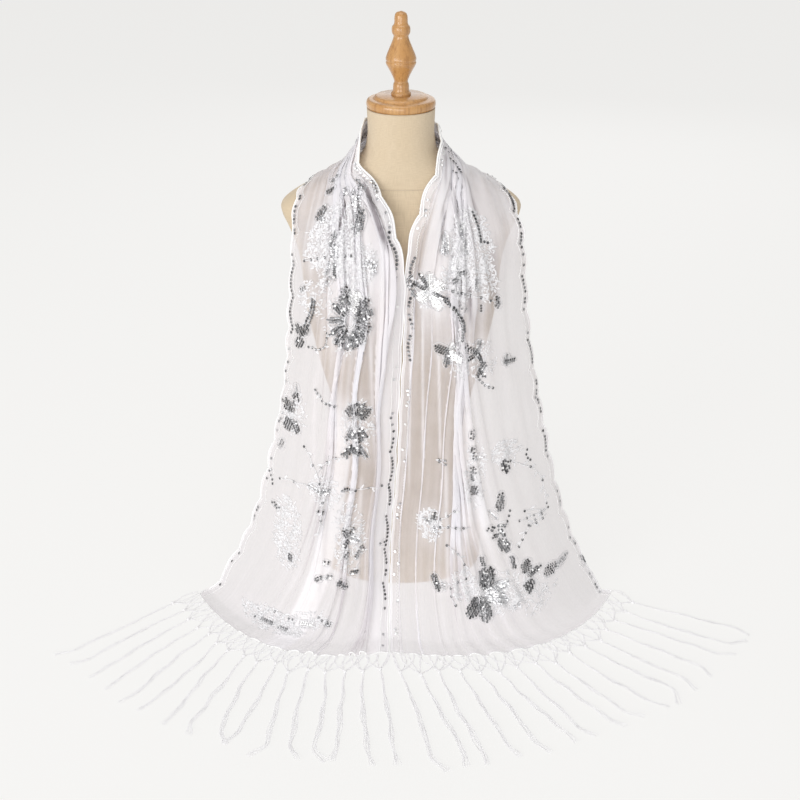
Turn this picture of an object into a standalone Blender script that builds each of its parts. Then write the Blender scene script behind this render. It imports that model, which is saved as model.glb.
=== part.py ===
"""Evening stole of sheer net on a limbless dress form, in metres with +Z up.

The form stands on its flat base, whose centre is the origin. It faces -Y. The stole is one
length of gathered net: it lies round the back of the neck, both of its ends fall down the
front, and their fringed hems rest on the surface that the form stands on. Left and right
are as seen from the front, so left is -X.
"""

import math
from collections import namedtuple

import bmesh
import bpy
import numpy as np

# Clearances between pieces that touch on the real object
SEAM_GAP = 0.0003
FORM_CLEARANCE = 0.0022
FLOOR_CLEARANCE = 0.0004
HEM_GAP = 0.0007

# Dress form: half widths, and depths in front of and behind the axis
Level = namedtuple("Level", "height half_width front back")
FORM_LEVELS = (
    Level(0.000, 0.1350, 0.100, 0.100),
    Level(0.060, 0.1340, 0.102, 0.104),
    Level(0.120, 0.1270, 0.098, 0.103),
    Level(0.180, 0.1180, 0.092, 0.096),
    Level(0.250, 0.1100, 0.085, 0.086),
    Level(0.300, 0.1120, 0.088, 0.084),
    Level(0.350, 0.1240, 0.096, 0.088),
    Level(0.400, 0.1350, 0.106, 0.094),
    Level(0.450, 0.1450, 0.113, 0.099),
    Level(0.500, 0.1500, 0.114, 0.103),
    Level(0.540, 0.1540, 0.108, 0.105),
    Level(0.570, 0.1610, 0.099, 0.104),
    Level(0.595, 0.1710, 0.090, 0.099),
    Level(0.612, 0.1785, 0.082, 0.093),
    Level(0.624, 0.1790, 0.076, 0.087),
    Level(0.635, 0.1680, 0.072, 0.082),
    Level(0.647, 0.1480, 0.068, 0.077),
    Level(0.659, 0.1240, 0.064, 0.072),
    Level(0.671, 0.1000, 0.060, 0.067),
    Level(0.683, 0.0790, 0.056, 0.062),
    Level(0.693, 0.0640, 0.053, 0.057),
    Level(0.704, 0.0545, 0.051, 0.053),
    Level(0.722, 0.0500, 0.049, 0.050),
    Level(0.767, 0.0495, 0.049, 0.049),
)
FORM_SQUARENESS = 2.25
FORM_SIDES = 28
NECK_TOP = FORM_LEVELS[-1].height

# Turned wood on the neck: radius at each height above the piece's underside
Turning = namedtuple("Turning", "radius height")
CAP_PROFILE = (
    Turning(0.0485, 0.0000),
    Turning(0.0500, 0.0020),
    Turning(0.0505, 0.0060),
    Turning(0.0498, 0.0100),
    Turning(0.0470, 0.0125),
    Turning(0.0395, 0.0130),
    Turning(0.0388, 0.0155),
    Turning(0.0360, 0.0170),
)
FINIAL_PROFILE = (
    Turning(0.0144, 0.0000),
    Turning(0.0146, 0.0040),
    Turning(0.0116, 0.0055),
    Turning(0.0116, 0.0160),
    Turning(0.0093, 0.0190),
    Turning(0.0120, 0.0265),
    Turning(0.0163, 0.0350),
    Turning(0.0205, 0.0420),
    Turning(0.0222, 0.0465),
    Turning(0.0210, 0.0485),
    Turning(0.0223, 0.0515),
    Turning(0.0205, 0.0575),
    Turning(0.0155, 0.0690),
    Turning(0.0097, 0.0830),
    Turning(0.0127, 0.0860),
    Turning(0.0136, 0.0920),
    Turning(0.0126, 0.0970),
    Turning(0.0094, 0.0995),
    Turning(0.0096, 0.1100),
    Turning(0.0072, 0.1155),
)
FINIAL_TIP = 0.1175
TURNED_SIDES = 24

# Stole: the cloth's cut width and the wall that stands for it
CLOTH_WIDTH = 0.48
CLOTH_WALL = 0.0012
STEEPEST_FOLD = 1.2  # radians, the most that a fold's wall leans from the drape
PRESSED_CREST = 0.55  # share of their height that the folds keep on the crest of a shoulder

# Each section crosses the stole from its inner edge, at the neck, to its outer edge
Section = namedtuple("Section", "place inner middle outer")
LEFT_END = (
    Section("hem", (-0.018, -0.282, 0.000), (-0.200, -0.268, 0.000), (-0.333, -0.126, 0.000)),
    Section("landing", (-0.019, -0.250, 0.000), (-0.184, -0.245, 0.000), (-0.316, -0.117, 0.001)),
    Section("flare", (-0.019, -0.190, 0.055), (-0.150, -0.212, 0.050), (-0.273, -0.099, 0.062)),
    Section("skirt", (-0.016, -0.156, 0.140), (-0.128, -0.178, 0.130), (-0.238, -0.089, 0.135)),
    Section("hip", (-0.008, -0.143, 0.240), (-0.112, -0.155, 0.225), (-0.211, -0.083, 0.230)),
    Section("waist", (-0.003, -0.137, 0.350), (-0.102, -0.143, 0.330), (-0.189, -0.078, 0.325)),
    Section("under_bust", (0.002, -0.134, 0.460), (-0.094, -0.136, 0.435), (-0.175, -0.073, 0.415)),
    Section("bust", (0.005, -0.124, 0.560), (-0.090, -0.126, 0.530), (-0.169, -0.068, 0.500)),
    Section("chest", (-0.006, -0.106, 0.614), (-0.090, -0.112, 0.590), (-0.165, -0.062, 0.555)),
    Section("collarbone", (-0.027, -0.074, 0.665), (-0.094, -0.084, 0.635), (-0.162, -0.052, 0.597)),
    Section("front_slope", (-0.056, -0.045, 0.695), (-0.094, -0.052, 0.662), (-0.157, -0.034, 0.631)),
    Section("crest", (-0.056, 0.000, 0.742), (-0.077, 0.000, 0.690), (-0.144, 0.000, 0.652)),
)
NECK_WRAP = (
    Section("behind_left", (-0.042, 0.042, 0.742), (-0.060, 0.055, 0.696), (-0.100, 0.078, 0.642)),
    Section("nape", (0.000, 0.058, 0.740), (0.000, 0.077, 0.692), (0.000, 0.104, 0.638)),
    Section("behind_right", (0.042, 0.042, 0.740), (0.061, 0.055, 0.694), (0.104, 0.078, 0.640)),
)
RIGHT_END = (
    Section("crest", (0.056, 0.000, 0.738), (0.079, 0.000, 0.688), (0.155, 0.000, 0.646)),
    Section("front_slope", (0.051, -0.045, 0.697), (0.098, -0.052, 0.661), (0.172, -0.034, 0.627)),
    Section("collarbone", (0.034, -0.074, 0.664), (0.100, -0.084, 0.634), (0.181, -0.052, 0.598)),
    Section("chest", (0.014, -0.106, 0.612), (0.098, -0.112, 0.588), (0.186, -0.062, 0.555)),
    Section("bust", (0.009, -0.124, 0.560), (0.100, -0.126, 0.530), (0.190, -0.068, 0.500)),
    Section("under_bust", (0.006, -0.134, 0.460), (0.106, -0.138, 0.435), (0.202, -0.073, 0.415)),
    Section("waist", (0.001, -0.137, 0.350), (0.118, -0.147, 0.330), (0.219, -0.078, 0.325)),
    Section("hip", (-0.004, -0.143, 0.240), (0.130, -0.160, 0.225), (0.240, -0.083, 0.230)),
    Section("skirt", (-0.012, -0.156, 0.140), (0.146, -0.182, 0.130), (0.266, -0.089, 0.135)),
    Section("flare", (-0.015, -0.190, 0.055), (0.165, -0.214, 0.050), (0.296, -0.098, 0.062)),
    Section("landing", (-0.015, -0.250, 0.000), (0.194, -0.245, 0.000), (0.332, -0.113, 0.001)),
    Section("hem", (-0.014, -0.282, 0.000), (0.208, -0.268, 0.000), (0.347, -0.122, 0.000)),
)
SECTIONS = LEFT_END + NECK_WRAP + RIGHT_END

# Folds from the inner edge outwards: share of the cloth, and depth at the neck, on the left and
# the right of the chest, and at the hem, where 1 is the deepest fold of that row
Fold = namedtuple("Fold", "share neck left_chest right_chest hem")
FOLDS = (
    Fold(0.090, 0.90, 1.00, 0.40, 0.80),
    Fold(0.080, 1.00, 1.00, 0.90, 1.00),
    Fold(0.070, 0.80, 0.40, 0.50, 0.70),
    Fold(0.110, 1.00, 1.00, 0.75, 1.00),
    Fold(0.085, 0.90, 0.90, 1.00, 0.75),
    Fold(0.100, 1.00, 0.50, 1.00, 0.90),
    Fold(0.120, 0.90, 1.00, 0.85, 0.60),
    Fold(0.095, 1.00, 0.80, 1.00, 0.45),
    Fold(0.130, 0.85, 1.00, 0.60, 0.50),
    Fold(0.120, 0.70, 0.50, 0.45, 0.35),
)
NECK_EASE = 0.16  # distance from the crest over which the neck's folds become the chest's
HEM_EASE = (0.30, 0.75)  # distances from the crest over which they become the hem's
COLUMNS_PER_FOLD = 5
END_STEPS = (1, 2, 2, 1, 1, 1, 1, 1, 2, 2, 2)  # rows between sections, from hem to crest
WRAP_STEPS = (2, 2, 2, 2)

# Fringe: each tassel has two legs from the hem to a knot, and a twisted tail
TASSELS = 16
STRIP_WIDTH = 0.003
STRAND_WALL = 0.0017
LEG_WIDTH = 0.0024
LEG_SPREAD = 0.36  # of the pitch, from the tassel's middle to a foot
KNOT_REACH = 0.042
KNOT_LENGTH = 0.005
KNOT_WIDTH = 0.0052
TAIL_WIDTH = 0.0038
TIP_WIDTH = 0.0022
TAIL_STEPS = 5
Fan = namedtuple("Fan", "side first_angle last_angle front_reach side_reach seed")
FANS = (
    Fan("left", 1.5, 61.0, 0.528, 0.597, 3),
    Fan("right", 5.5, 67.5, 0.535, 0.600, 8),
)

Finish = namedtuple("Finish", "colour roughness metallic")
FINISHES = {
    "linen": Finish((0.76, 0.61, 0.43, 1.0), 0.85, 0.0),
    "wood": Finish((0.55, 0.30, 0.11, 1.0), 0.35, 0.0),
    "net": Finish((0.86, 0.85, 0.88, 1.0), 0.60, 0.0),
    "fringe": Finish((0.90, 0.90, 0.91, 1.0), 0.65, 0.0),
}


def clear_scene():
    for obj in list(bpy.data.objects):
        bpy.data.objects.remove(obj, do_unlink=True)


def material(name):
    finish = FINISHES[name]
    made = bpy.data.materials.get(name) or bpy.data.materials.new(name)
    made.use_nodes = True
    shader = made.node_tree.nodes["Principled BSDF"]
    shader.inputs["Base Color"].default_value = finish.colour
    shader.inputs["Roughness"].default_value = finish.roughness
    shader.inputs["Metallic"].default_value = finish.metallic
    return made


def add_object(collection, name, shape, finish):
    """Takes a bmesh and makes it a named object with its own material."""
    mesh = bpy.data.meshes.new(name)
    shape.to_mesh(mesh)
    shape.free()
    mesh.materials.append(material(finish))
    obj = bpy.data.objects.new(name, mesh)
    collection.objects.link(obj)
    return obj


def smooth_curve(knots, values, at):
    """Cubic through the values, whose slope at each knot follows its two neighbours."""
    knots = np.asarray(knots, float)
    values = np.asarray(values, float).reshape(len(knots), -1)
    slopes = np.gradient(values, knots, axis=0)
    at = np.clip(np.asarray(at, float), knots[0], knots[-1])
    left = np.clip(np.searchsorted(knots, at, side="right") - 1, 0, len(knots) - 2)
    step = (knots[left + 1] - knots[left])[:, None]
    share = ((at - knots[left]) / step[:, 0])[:, None]
    squared, cubed = share**2, share**3
    return (
        (2 * cubed - 3 * squared + 1) * values[left]
        + (cubed - 2 * squared + share) * step * slopes[left]
        + (3 * squared - 2 * cubed) * values[left + 1]
        + (cubed - squared) * step * slopes[left + 1]
    )


def form_radius(points):
    """1 on the form's surface and more outside it, by the superellipse at each height."""
    heights = [level.height for level in FORM_LEVELS]
    measures = [level[1:] for level in FORM_LEVELS]
    half_width, front, back = smooth_curve(heights, measures, points[:, 2]).T
    depth = np.where(points[:, 1] < 0, front, back)
    power = FORM_SQUARENESS
    return (
        np.abs(points[:, 0] / half_width) ** power + np.abs(points[:, 1] / depth) ** power
    ) ** (1 / power)


def clear_of_form(points, clearance):
    """Moves each point that is nearer the form than the clearance out along the form's slope."""
    points = points.copy()
    probe = 0.0005
    for _ in range(5):
        radius = form_radius(points)
        slope = np.empty_like(points)
        for axis in range(3):
            moved = points.copy()
            moved[:, axis] += probe
            slope[:, axis] = (form_radius(moved) - radius) / probe
        steepness = np.maximum(np.linalg.norm(slope, axis=1), 1e-6)
        short = np.clip(clearance - (radius - 1) / steepness, 0, 0.01)
        points += slope / steepness[:, None] * short[:, None]
    return points


def section_stations():
    """Distance of each section from the left hem, along the stole's middle line."""
    middles = np.array([section.middle for section in SECTIONS])
    return np.concatenate([[0], np.cumsum(np.linalg.norm(np.diff(middles, axis=0), axis=1))])


STATIONS = section_stations()
CREST_LEFT = STATIONS[len(LEFT_END) - 1]
CREST_RIGHT = STATIONS[len(LEFT_END) + len(NECK_WRAP)]


def drape(along, across):
    """Points of the smooth drape under the folds, for distances along and shares across."""
    edges = [
        smooth_curve(STATIONS, [getattr(section, edge) for section in SECTIONS], along)
        for edge in ("inner", "middle", "outer")
    ]
    inner, middle, outer = (edge[:, None, :] for edge in edges)
    share = np.asarray(across)[None, :, None]
    points = (
        inner * (2 * share - 1) * (share - 1)
        + middle * 4 * share * (1 - share)
        + outer * share * (2 * share - 1)
    )
    flat = clear_of_form(points.reshape(-1, 3), FORM_CLEARANCE)
    flat[:, 2] = np.maximum(flat[:, 2], 0)
    return flat.reshape(points.shape)


def eased(value, start, end):
    """0 before the start and 1 past the end, with a smooth rise between them."""
    share = np.clip((value - start) / (end - start), 0, 1)
    return share * share * (3 - 2 * share)


def fold_depths(along):
    """Relative depth of each fold at this distance along the stole."""
    neck, left, right, hem = np.array([fold[1:] for fold in FOLDS]).T
    past_crest = max(CREST_LEFT - along, along - CREST_RIGHT, 0)
    chest = left if along < (CREST_LEFT + CREST_RIGHT) / 2 else right
    on_chest = eased(past_crest, 0, NECK_EASE)
    at_hem = eased(past_crest, *HEM_EASE)
    return (neck * (1 - on_chest) + chest * on_chest) * (1 - at_hem) + hem * at_hem


def folded_row(along, columns, span):
    """Run and rise across the stole at each column, where the folds fill the span."""
    shares = np.array([fold.share for fold in FOLDS])
    ends = np.concatenate([[0], np.cumsum(shares / shares.sum())])
    fine = np.linspace(0, 1, 40 * len(FOLDS) + 1)
    index = np.clip(np.searchsorted(ends, fine, side="right") - 1, 0, len(FOLDS) - 1)
    turn = (fine - ends[index]) / (ends[index + 1] - ends[index])
    lean = fold_depths(along)[index] * np.sin(2 * math.pi * turn)

    def filled(steepness):
        return np.cos(steepness * lean).mean()

    low, high = 0.0, STEEPEST_FOLD
    for _ in range(30):
        middle = (low + high) / 2
        low, high = (middle, high) if filled(middle) * CLOTH_WIDTH > span else (low, middle)
    angle = low * lean
    run = np.concatenate([[0], np.cumsum((np.cos(angle)[1:] + np.cos(angle)[:-1]) / 2)])
    rise = np.concatenate([[0], np.cumsum((np.sin(angle)[1:] + np.sin(angle)[:-1]) / 2)])
    scale = span / run[-1]
    past_crest = max(CREST_LEFT - along, along - CREST_RIGHT, 0)
    rise *= PRESSED_CREST + (1 - PRESSED_CREST) * eased(past_crest, 0.01, NECK_EASE)
    return np.interp(columns, fine, run * scale) / span, np.interp(columns, fine, rise * scale)


def fold_columns():
    """Shares across the stole, with the same number in each fold."""
    shares = np.array([fold.share for fold in FOLDS])
    ends = np.concatenate([[0], np.cumsum(shares / shares.sum())])
    steps = np.arange(len(FOLDS) * COLUMNS_PER_FOLD + 1) / COLUMNS_PER_FOLD
    return np.interp(steps, np.arange(len(FOLDS) + 1), ends)


def folded_cloth(along):
    """Grid of points on the cloth's inner face, one row for each distance along the stole."""
    columns = fold_columns()
    across = np.linspace(0, 1, 61)
    probe = 0.004
    base = drape(along, across)
    lengthwise = drape(along + probe, across) - drape(along - probe, across)
    crosswise = np.gradient(base, axis=1)
    normals = np.cross(lengthwise, crosswise)
    normals /= np.linalg.norm(normals, axis=2, keepdims=True)
    grid = np.empty((len(along), len(columns), 3))
    for row, distance in enumerate(along):
        steps = np.linalg.norm(np.diff(base[row], axis=0), axis=1)
        reach = np.concatenate([[0], np.cumsum(steps)])
        share, rise = folded_row(distance, columns, reach[-1])
        for axis in range(3):
            point = np.interp(share * reach[-1], reach, base[row, :, axis])
            normal = np.interp(share * reach[-1], reach, normals[row, :, axis])
            grid[row, :, axis] = point + normal * rise
    grid[:, :, 2] = np.maximum(grid[:, :, 2], 0)
    return grid


def row_distances(first, last, steps, start, end):
    """Distances of a piece's rows, with this many steps from each section to the next."""
    rows = [STATIONS[first]]
    for place, count in zip(range(first, last), steps):
        rows += list(np.linspace(STATIONS[place], STATIONS[place + 1], count + 1)[1:])
    return np.clip(rows, start, end)


def cloth_piece(collection, name, distances):
    """A stretch of the stole with a row at each distance: its inner face, thickened outwards."""
    grid = folded_cloth(distances)
    shape = bmesh.new()
    points = [[shape.verts.new(point) for point in row] for row in grid]
    for lower, upper in zip(points, points[1:]):
        for column in range(len(lower) - 1):
            corners = (lower[column], upper[column], upper[column + 1], lower[column + 1])
            shape.faces.new(corners)
    obj = add_object(collection, name, shape, "net")
    wall = obj.modifiers.new("Wall", "SOLIDIFY")
    wall.thickness = CLOTH_WALL
    wall.offset = 1.0
    return obj


def form_body(collection):
    """The form's torso and neck: superellipse rings, closed at the base and the neck."""
    shape = bmesh.new()
    rings = []
    power = 2 / FORM_SQUARENESS
    for level in FORM_LEVELS:
        ring = []
        for side in range(FORM_SIDES):
            turn = 2 * math.pi * side / FORM_SIDES
            cosine, sine = math.cos(turn), math.sin(turn)
            depth = level.back if sine > 0 else level.front
            x = math.copysign(abs(cosine) ** power, cosine) * level.half_width
            y = math.copysign(abs(sine) ** power, sine) * depth
            ring.append(shape.verts.new((x, y, level.height)))
        rings.append(ring)
    for lower, upper in zip(rings, rings[1:]):
        for side in range(FORM_SIDES):
            after = (side + 1) % FORM_SIDES
            shape.faces.new((lower[side], lower[after], upper[after], upper[side]))
    shape.faces.new(rings[0][::-1])
    shape.faces.new(rings[-1])
    return add_object(collection, "form_body", shape, "linen")


def turned_piece(collection, name, profile, top, base):
    """A solid of revolution, from its profile and the height of its highest point."""
    shape = bmesh.new()
    outline = [(0.0, top)]
    outline += [(turning.radius, turning.height) for turning in reversed(profile)]
    outline.append((0.0, profile[0].height))
    points = [shape.verts.new((radius, 0.0, height)) for radius, height in outline]
    for upper, lower in zip(points, points[1:]):
        shape.edges.new((upper, lower))
    obj = add_object(collection, name, shape, "wood")
    obj.location.z = base
    screw = obj.modifiers.new("Turn", "SCREW")
    screw.steps = TURNED_SIDES
    screw.render_steps = TURNED_SIDES
    screw.use_merge_vertices = True
    screw.merge_threshold = 0.00005
    return obj


def hem_line(station, inland):
    """Points and outward directions along the hem, in plan, and the hem's length."""
    across = np.linspace(0, 1, 121)
    hem = drape(np.array([station]), across)[0, :, :2]
    inside = drape(np.array([inland]), across)[0, :, :2]
    outward = hem - inside
    outward /= np.linalg.norm(outward, axis=1, keepdims=True)
    reach = np.concatenate([[0], np.cumsum(np.linalg.norm(np.diff(hem, axis=0), axis=1))])
    return hem, outward, reach


def tail_line(root, tip, sway):
    """Centre line of a tail from its knot to its tip, bent a little sideways."""
    sideways = np.array([root[1] - tip[1], tip[0] - root[0]])
    sideways /= np.linalg.norm(sideways)
    shares = [step / TAIL_STEPS for step in range(TAIL_STEPS + 1)]
    bends = [math.sin(math.pi * share) + 0.3 * math.sin(2 * math.pi * share) for share in shares]
    return [root + (tip - root) * share + sideways * sway * bend for share, bend in zip(shares, bends)]


def fringe(collection, fan, station, inland):
    """A narrow strip along the hem with its tassels, as a flat net lying just off the floor."""
    hem, outward, reach = hem_line(station, inland)
    mirror = -1 if fan.side == "left" else 1
    chance = np.random.default_rng(fan.seed)
    pitch = reach[-1] / TASSELS
    half_foot = LEG_WIDTH / 2

    def on_hem(distance, offset):
        base = [np.interp(distance, reach, hem[:, axis]) for axis in range(2)]
        way = [np.interp(distance, reach, outward[:, axis]) for axis in range(2)]
        return np.array([base[0] + way[0] * offset, base[1] + way[1] * offset])

    shape = bmesh.new()

    def vert(point, lift=0.0):
        return shape.verts.new((point[0], point[1], FLOOR_CLEARANCE + lift))

    def quad(corners):
        face = shape.faces.new(corners)
        face.normal_update()
        if face.normal.z < 0:
            face.normal_flip()

    inner_edge, outer_edge = HEM_GAP, HEM_GAP + STRIP_WIDTH
    feet = []
    stops = [half_foot]
    for tassel in range(TASSELS):
        middle = (tassel + 0.5) * pitch
        for foot in (middle - LEG_SPREAD * pitch, middle + LEG_SPREAD * pitch):
            feet.append((len(stops), len(stops) + 1))
            stops += [foot - half_foot, foot + half_foot]
    stops.append(reach[-1] - half_foot)
    inside = [vert(on_hem(stop, inner_edge)) for stop in stops]
    outside = [vert(on_hem(stop, outer_edge)) for stop in stops]
    for place in range(len(stops) - 1):
        quad((inside[place], inside[place + 1], outside[place + 1], outside[place]))

    for tassel in range(TASSELS):
        middle = (tassel + 0.5) * pitch
        share = tassel / (TASSELS - 1)
        angle = fan.first_angle + (fan.last_angle - fan.first_angle) * share
        angle = math.radians(angle + chance.uniform(-1.0, 1.0))
        far = fan.front_reach + (fan.side_reach - fan.front_reach) * share**2
        far += chance.uniform(-0.007, 0.007)
        tip = np.array([mirror * far * math.sin(angle), -far * math.cos(angle)])
        knot = on_hem(middle + chance.uniform(-0.08, 0.08) * pitch, KNOT_REACH)
        heading = (tip - knot) / np.linalg.norm(tip - knot)
        side = np.array([-heading[1], heading[0]]) * (-mirror)
        left_foot, right_foot = feet[2 * tassel], feet[2 * tassel + 1]
        if np.dot(on_hem(stops[left_foot[0]], 0) - on_hem(stops[right_foot[0]], 0), side) < 0:
            side = -side
        high = 0.0008
        near = [vert(knot + side * KNOT_WIDTH / 2 * place, high) for place in (1, 0, -1)]
        far_knot = knot + heading * KNOT_LENGTH
        away = [vert(far_knot + side * TAIL_WIDTH / 2 * place, high) for place in (1, -1)]
        for (first, second), (start, end) in (
            (left_foot, (near[0], near[1])),
            (right_foot, (near[1], near[2])),
        ):
            quad((outside[first], outside[second], end, start))
        quad((near[0], near[1], near[2], away[1], away[0]))
        sway = chance.uniform(-0.006, 0.006)
        line = tail_line(far_knot, tip, sway)
        previous = away
        for step in range(1, TAIL_STEPS + 1):
            width = TAIL_WIDTH + (TIP_WIDTH - TAIL_WIDTH) * step / TAIL_STEPS
            lift = high * (1 - step / TAIL_STEPS)
            ahead = line[step] - line[step - 1]
            normal = np.array([-ahead[1], ahead[0]]) / np.linalg.norm(ahead)
            if np.dot(normal, side) < 0:
                normal = -normal
            current = [vert(line[step] + normal * width / 2 * place, lift) for place in (1, -1)]
            quad((previous[0], previous[1], current[1], current[0]))
            previous = current
    obj = add_object(collection, f"fringe_{fan.side}", shape, "fringe")
    wall = obj.modifiers.new("Wall", "SOLIDIFY")
    wall.thickness = STRAND_WALL
    wall.offset = 1.0
    return obj


def main():
    clear_scene()
    collection = bpy.data.collections.new("stole_on_dress_form")
    bpy.context.scene.collection.children.link(collection)
    form_body(collection)
    cap_base = NECK_TOP + SEAM_GAP
    turned_piece(collection, "cap_plate", CAP_PROFILE, CAP_PROFILE[-1].height, cap_base)
    finial_base = cap_base + CAP_PROFILE[-1].height + SEAM_GAP
    turned_piece(collection, "finial", FINIAL_PROFILE, FINIAL_TIP, finial_base)
    left_crest, right_crest, last = len(LEFT_END) - 1, len(LEFT_END + NECK_WRAP), len(SECTIONS) - 1
    left_rows = row_distances(0, left_crest, END_STEPS, 0, CREST_LEFT - SEAM_GAP)
    wrap_rows = row_distances(
        left_crest, right_crest, WRAP_STEPS, CREST_LEFT + SEAM_GAP, CREST_RIGHT - SEAM_GAP
    )
    right_rows = row_distances(
        right_crest, last, END_STEPS[::-1], CREST_RIGHT + SEAM_GAP, STATIONS[-1]
    )
    cloth_piece(collection, "stole_front_left", left_rows)
    cloth_piece(collection, "stole_neck_wrap", wrap_rows)
    cloth_piece(collection, "stole_front_right", right_rows)
    fringe(collection, FANS[0], STATIONS[0], STATIONS[1])
    fringe(collection, FANS[1], STATIONS[-1], STATIONS[-2])


main()
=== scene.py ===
"""Looks of the evening stole of embroidered net, draped on a limbless dress form.

Everything is in metres in the frame's own axes: +Z is up and the form faces -Y. Left and right
are as seen from the front, so left is -X. The cloth has coordinates of its own: across, from
its inner edge at the neck to its outer edge, and along, from its left hem to its right hem.
"""

import math
from collections import namedtuple
from functools import partial

import bpy
import numpy as np
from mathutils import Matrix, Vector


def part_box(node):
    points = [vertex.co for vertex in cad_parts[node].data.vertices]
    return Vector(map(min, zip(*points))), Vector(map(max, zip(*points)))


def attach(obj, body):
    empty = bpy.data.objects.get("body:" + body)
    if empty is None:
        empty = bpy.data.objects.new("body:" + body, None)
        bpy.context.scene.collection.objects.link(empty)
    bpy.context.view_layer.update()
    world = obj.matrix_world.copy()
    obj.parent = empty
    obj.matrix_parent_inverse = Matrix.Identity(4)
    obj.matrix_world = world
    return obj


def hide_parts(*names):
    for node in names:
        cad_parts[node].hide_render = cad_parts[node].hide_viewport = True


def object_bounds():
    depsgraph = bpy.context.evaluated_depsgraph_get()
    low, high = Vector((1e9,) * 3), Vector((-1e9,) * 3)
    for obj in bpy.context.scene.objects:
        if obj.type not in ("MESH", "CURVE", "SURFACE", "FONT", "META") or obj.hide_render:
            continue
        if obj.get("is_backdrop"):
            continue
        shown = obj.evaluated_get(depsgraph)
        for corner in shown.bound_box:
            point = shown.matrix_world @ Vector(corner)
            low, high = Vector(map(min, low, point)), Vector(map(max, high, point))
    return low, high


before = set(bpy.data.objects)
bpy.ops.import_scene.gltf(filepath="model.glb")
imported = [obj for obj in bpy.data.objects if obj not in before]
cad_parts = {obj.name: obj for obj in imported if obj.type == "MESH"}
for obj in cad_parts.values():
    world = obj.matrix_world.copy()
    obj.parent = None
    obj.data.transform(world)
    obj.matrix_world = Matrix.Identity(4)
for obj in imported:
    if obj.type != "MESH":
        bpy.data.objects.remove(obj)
cad_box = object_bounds()

# ---------------------------------------------------------------------------------------------
# Sizes that the solids share


def rows_of(kind, *rows):
    """A table's rows, each with its kind's names."""
    return [kind(*row) for row in rows]


def on_sides(kind, left, right):
    """A table's rows for the left end of the stole, and then for the right end."""
    return [kind("left", *row) for row in left] + [kind("right", *row) for row in right]


FORM_CLEARANCE = 0.0022
FLOOR_CLEARANCE = 0.0004
HEM_GAP = 0.0007

Level = namedtuple("Level", "height half_width front back")
FORM_LEVELS = rows_of(
    Level,
    (0.000, 0.1350, 0.100, 0.100), (0.060, 0.1340, 0.102, 0.104), (0.120, 0.1270, 0.098, 0.103),
    (0.180, 0.1180, 0.092, 0.096), (0.250, 0.1100, 0.085, 0.086), (0.300, 0.1120, 0.088, 0.084),
    (0.350, 0.1240, 0.096, 0.088), (0.400, 0.1350, 0.106, 0.094), (0.450, 0.1450, 0.113, 0.099),
    (0.500, 0.1500, 0.114, 0.103), (0.540, 0.1540, 0.108, 0.105), (0.570, 0.1610, 0.099, 0.104),
    (0.595, 0.1710, 0.090, 0.099), (0.612, 0.1785, 0.082, 0.093), (0.624, 0.1790, 0.076, 0.087),
    (0.635, 0.1680, 0.072, 0.082), (0.647, 0.1480, 0.068, 0.077), (0.659, 0.1240, 0.064, 0.072),
    (0.671, 0.1000, 0.060, 0.067), (0.683, 0.0790, 0.056, 0.062), (0.693, 0.0640, 0.053, 0.057),
    (0.704, 0.0545, 0.051, 0.053), (0.722, 0.0500, 0.049, 0.050), (0.767, 0.0495, 0.049, 0.049),
)
FORM_SQUARENESS = 2.25

Turning = namedtuple("Turning", "radius height")
CAP_PROFILE = rows_of(
    Turning,
    (0.0485, 0.0000), (0.0500, 0.0020), (0.0505, 0.0060), (0.0498, 0.0100),
    (0.0470, 0.0125), (0.0395, 0.0130), (0.0388, 0.0155), (0.0360, 0.0170),
)
FINIAL_PROFILE = rows_of(
    Turning,
    (0.0144, 0.0000), (0.0146, 0.0040), (0.0116, 0.0055), (0.0116, 0.0160),
    (0.0093, 0.0190), (0.0120, 0.0265), (0.0163, 0.0350), (0.0205, 0.0420),
    (0.0222, 0.0465), (0.0210, 0.0485), (0.0223, 0.0515), (0.0205, 0.0575),
    (0.0155, 0.0690), (0.0097, 0.0830), (0.0127, 0.0860), (0.0136, 0.0920),
    (0.0126, 0.0970), (0.0094, 0.0995), (0.0096, 0.1100), (0.0072, 0.1155),
    (0.0000, 0.1175),
)

CLOTH_WIDTH = 0.48
Section = namedtuple("Section", "place inner middle outer")
LEFT_END = rows_of(
    Section,
    ("hem", (-0.018, -0.282, 0.000), (-0.200, -0.268, 0.000), (-0.333, -0.126, 0.000)),
    ("landing", (-0.019, -0.250, 0.000), (-0.184, -0.245, 0.000), (-0.316, -0.117, 0.001)),
    ("flare", (-0.019, -0.190, 0.055), (-0.150, -0.212, 0.050), (-0.273, -0.099, 0.062)),
    ("skirt", (-0.016, -0.156, 0.140), (-0.128, -0.178, 0.130), (-0.238, -0.089, 0.135)),
    ("hip", (-0.008, -0.143, 0.240), (-0.112, -0.155, 0.225), (-0.211, -0.083, 0.230)),
    ("waist", (-0.003, -0.137, 0.350), (-0.102, -0.143, 0.330), (-0.189, -0.078, 0.325)),
    ("under_bust", (0.002, -0.134, 0.460), (-0.094, -0.136, 0.435), (-0.175, -0.073, 0.415)),
    ("bust", (0.005, -0.124, 0.560), (-0.090, -0.126, 0.530), (-0.169, -0.068, 0.500)),
    ("chest", (-0.006, -0.106, 0.614), (-0.090, -0.112, 0.590), (-0.165, -0.062, 0.555)),
    ("collarbone", (-0.027, -0.074, 0.665), (-0.094, -0.084, 0.635), (-0.162, -0.052, 0.597)),
    ("front_slope", (-0.056, -0.045, 0.695), (-0.094, -0.052, 0.662), (-0.157, -0.034, 0.631)),
    ("crest", (-0.056, 0.000, 0.742), (-0.077, 0.000, 0.690), (-0.144, 0.000, 0.652)),
)
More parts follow.
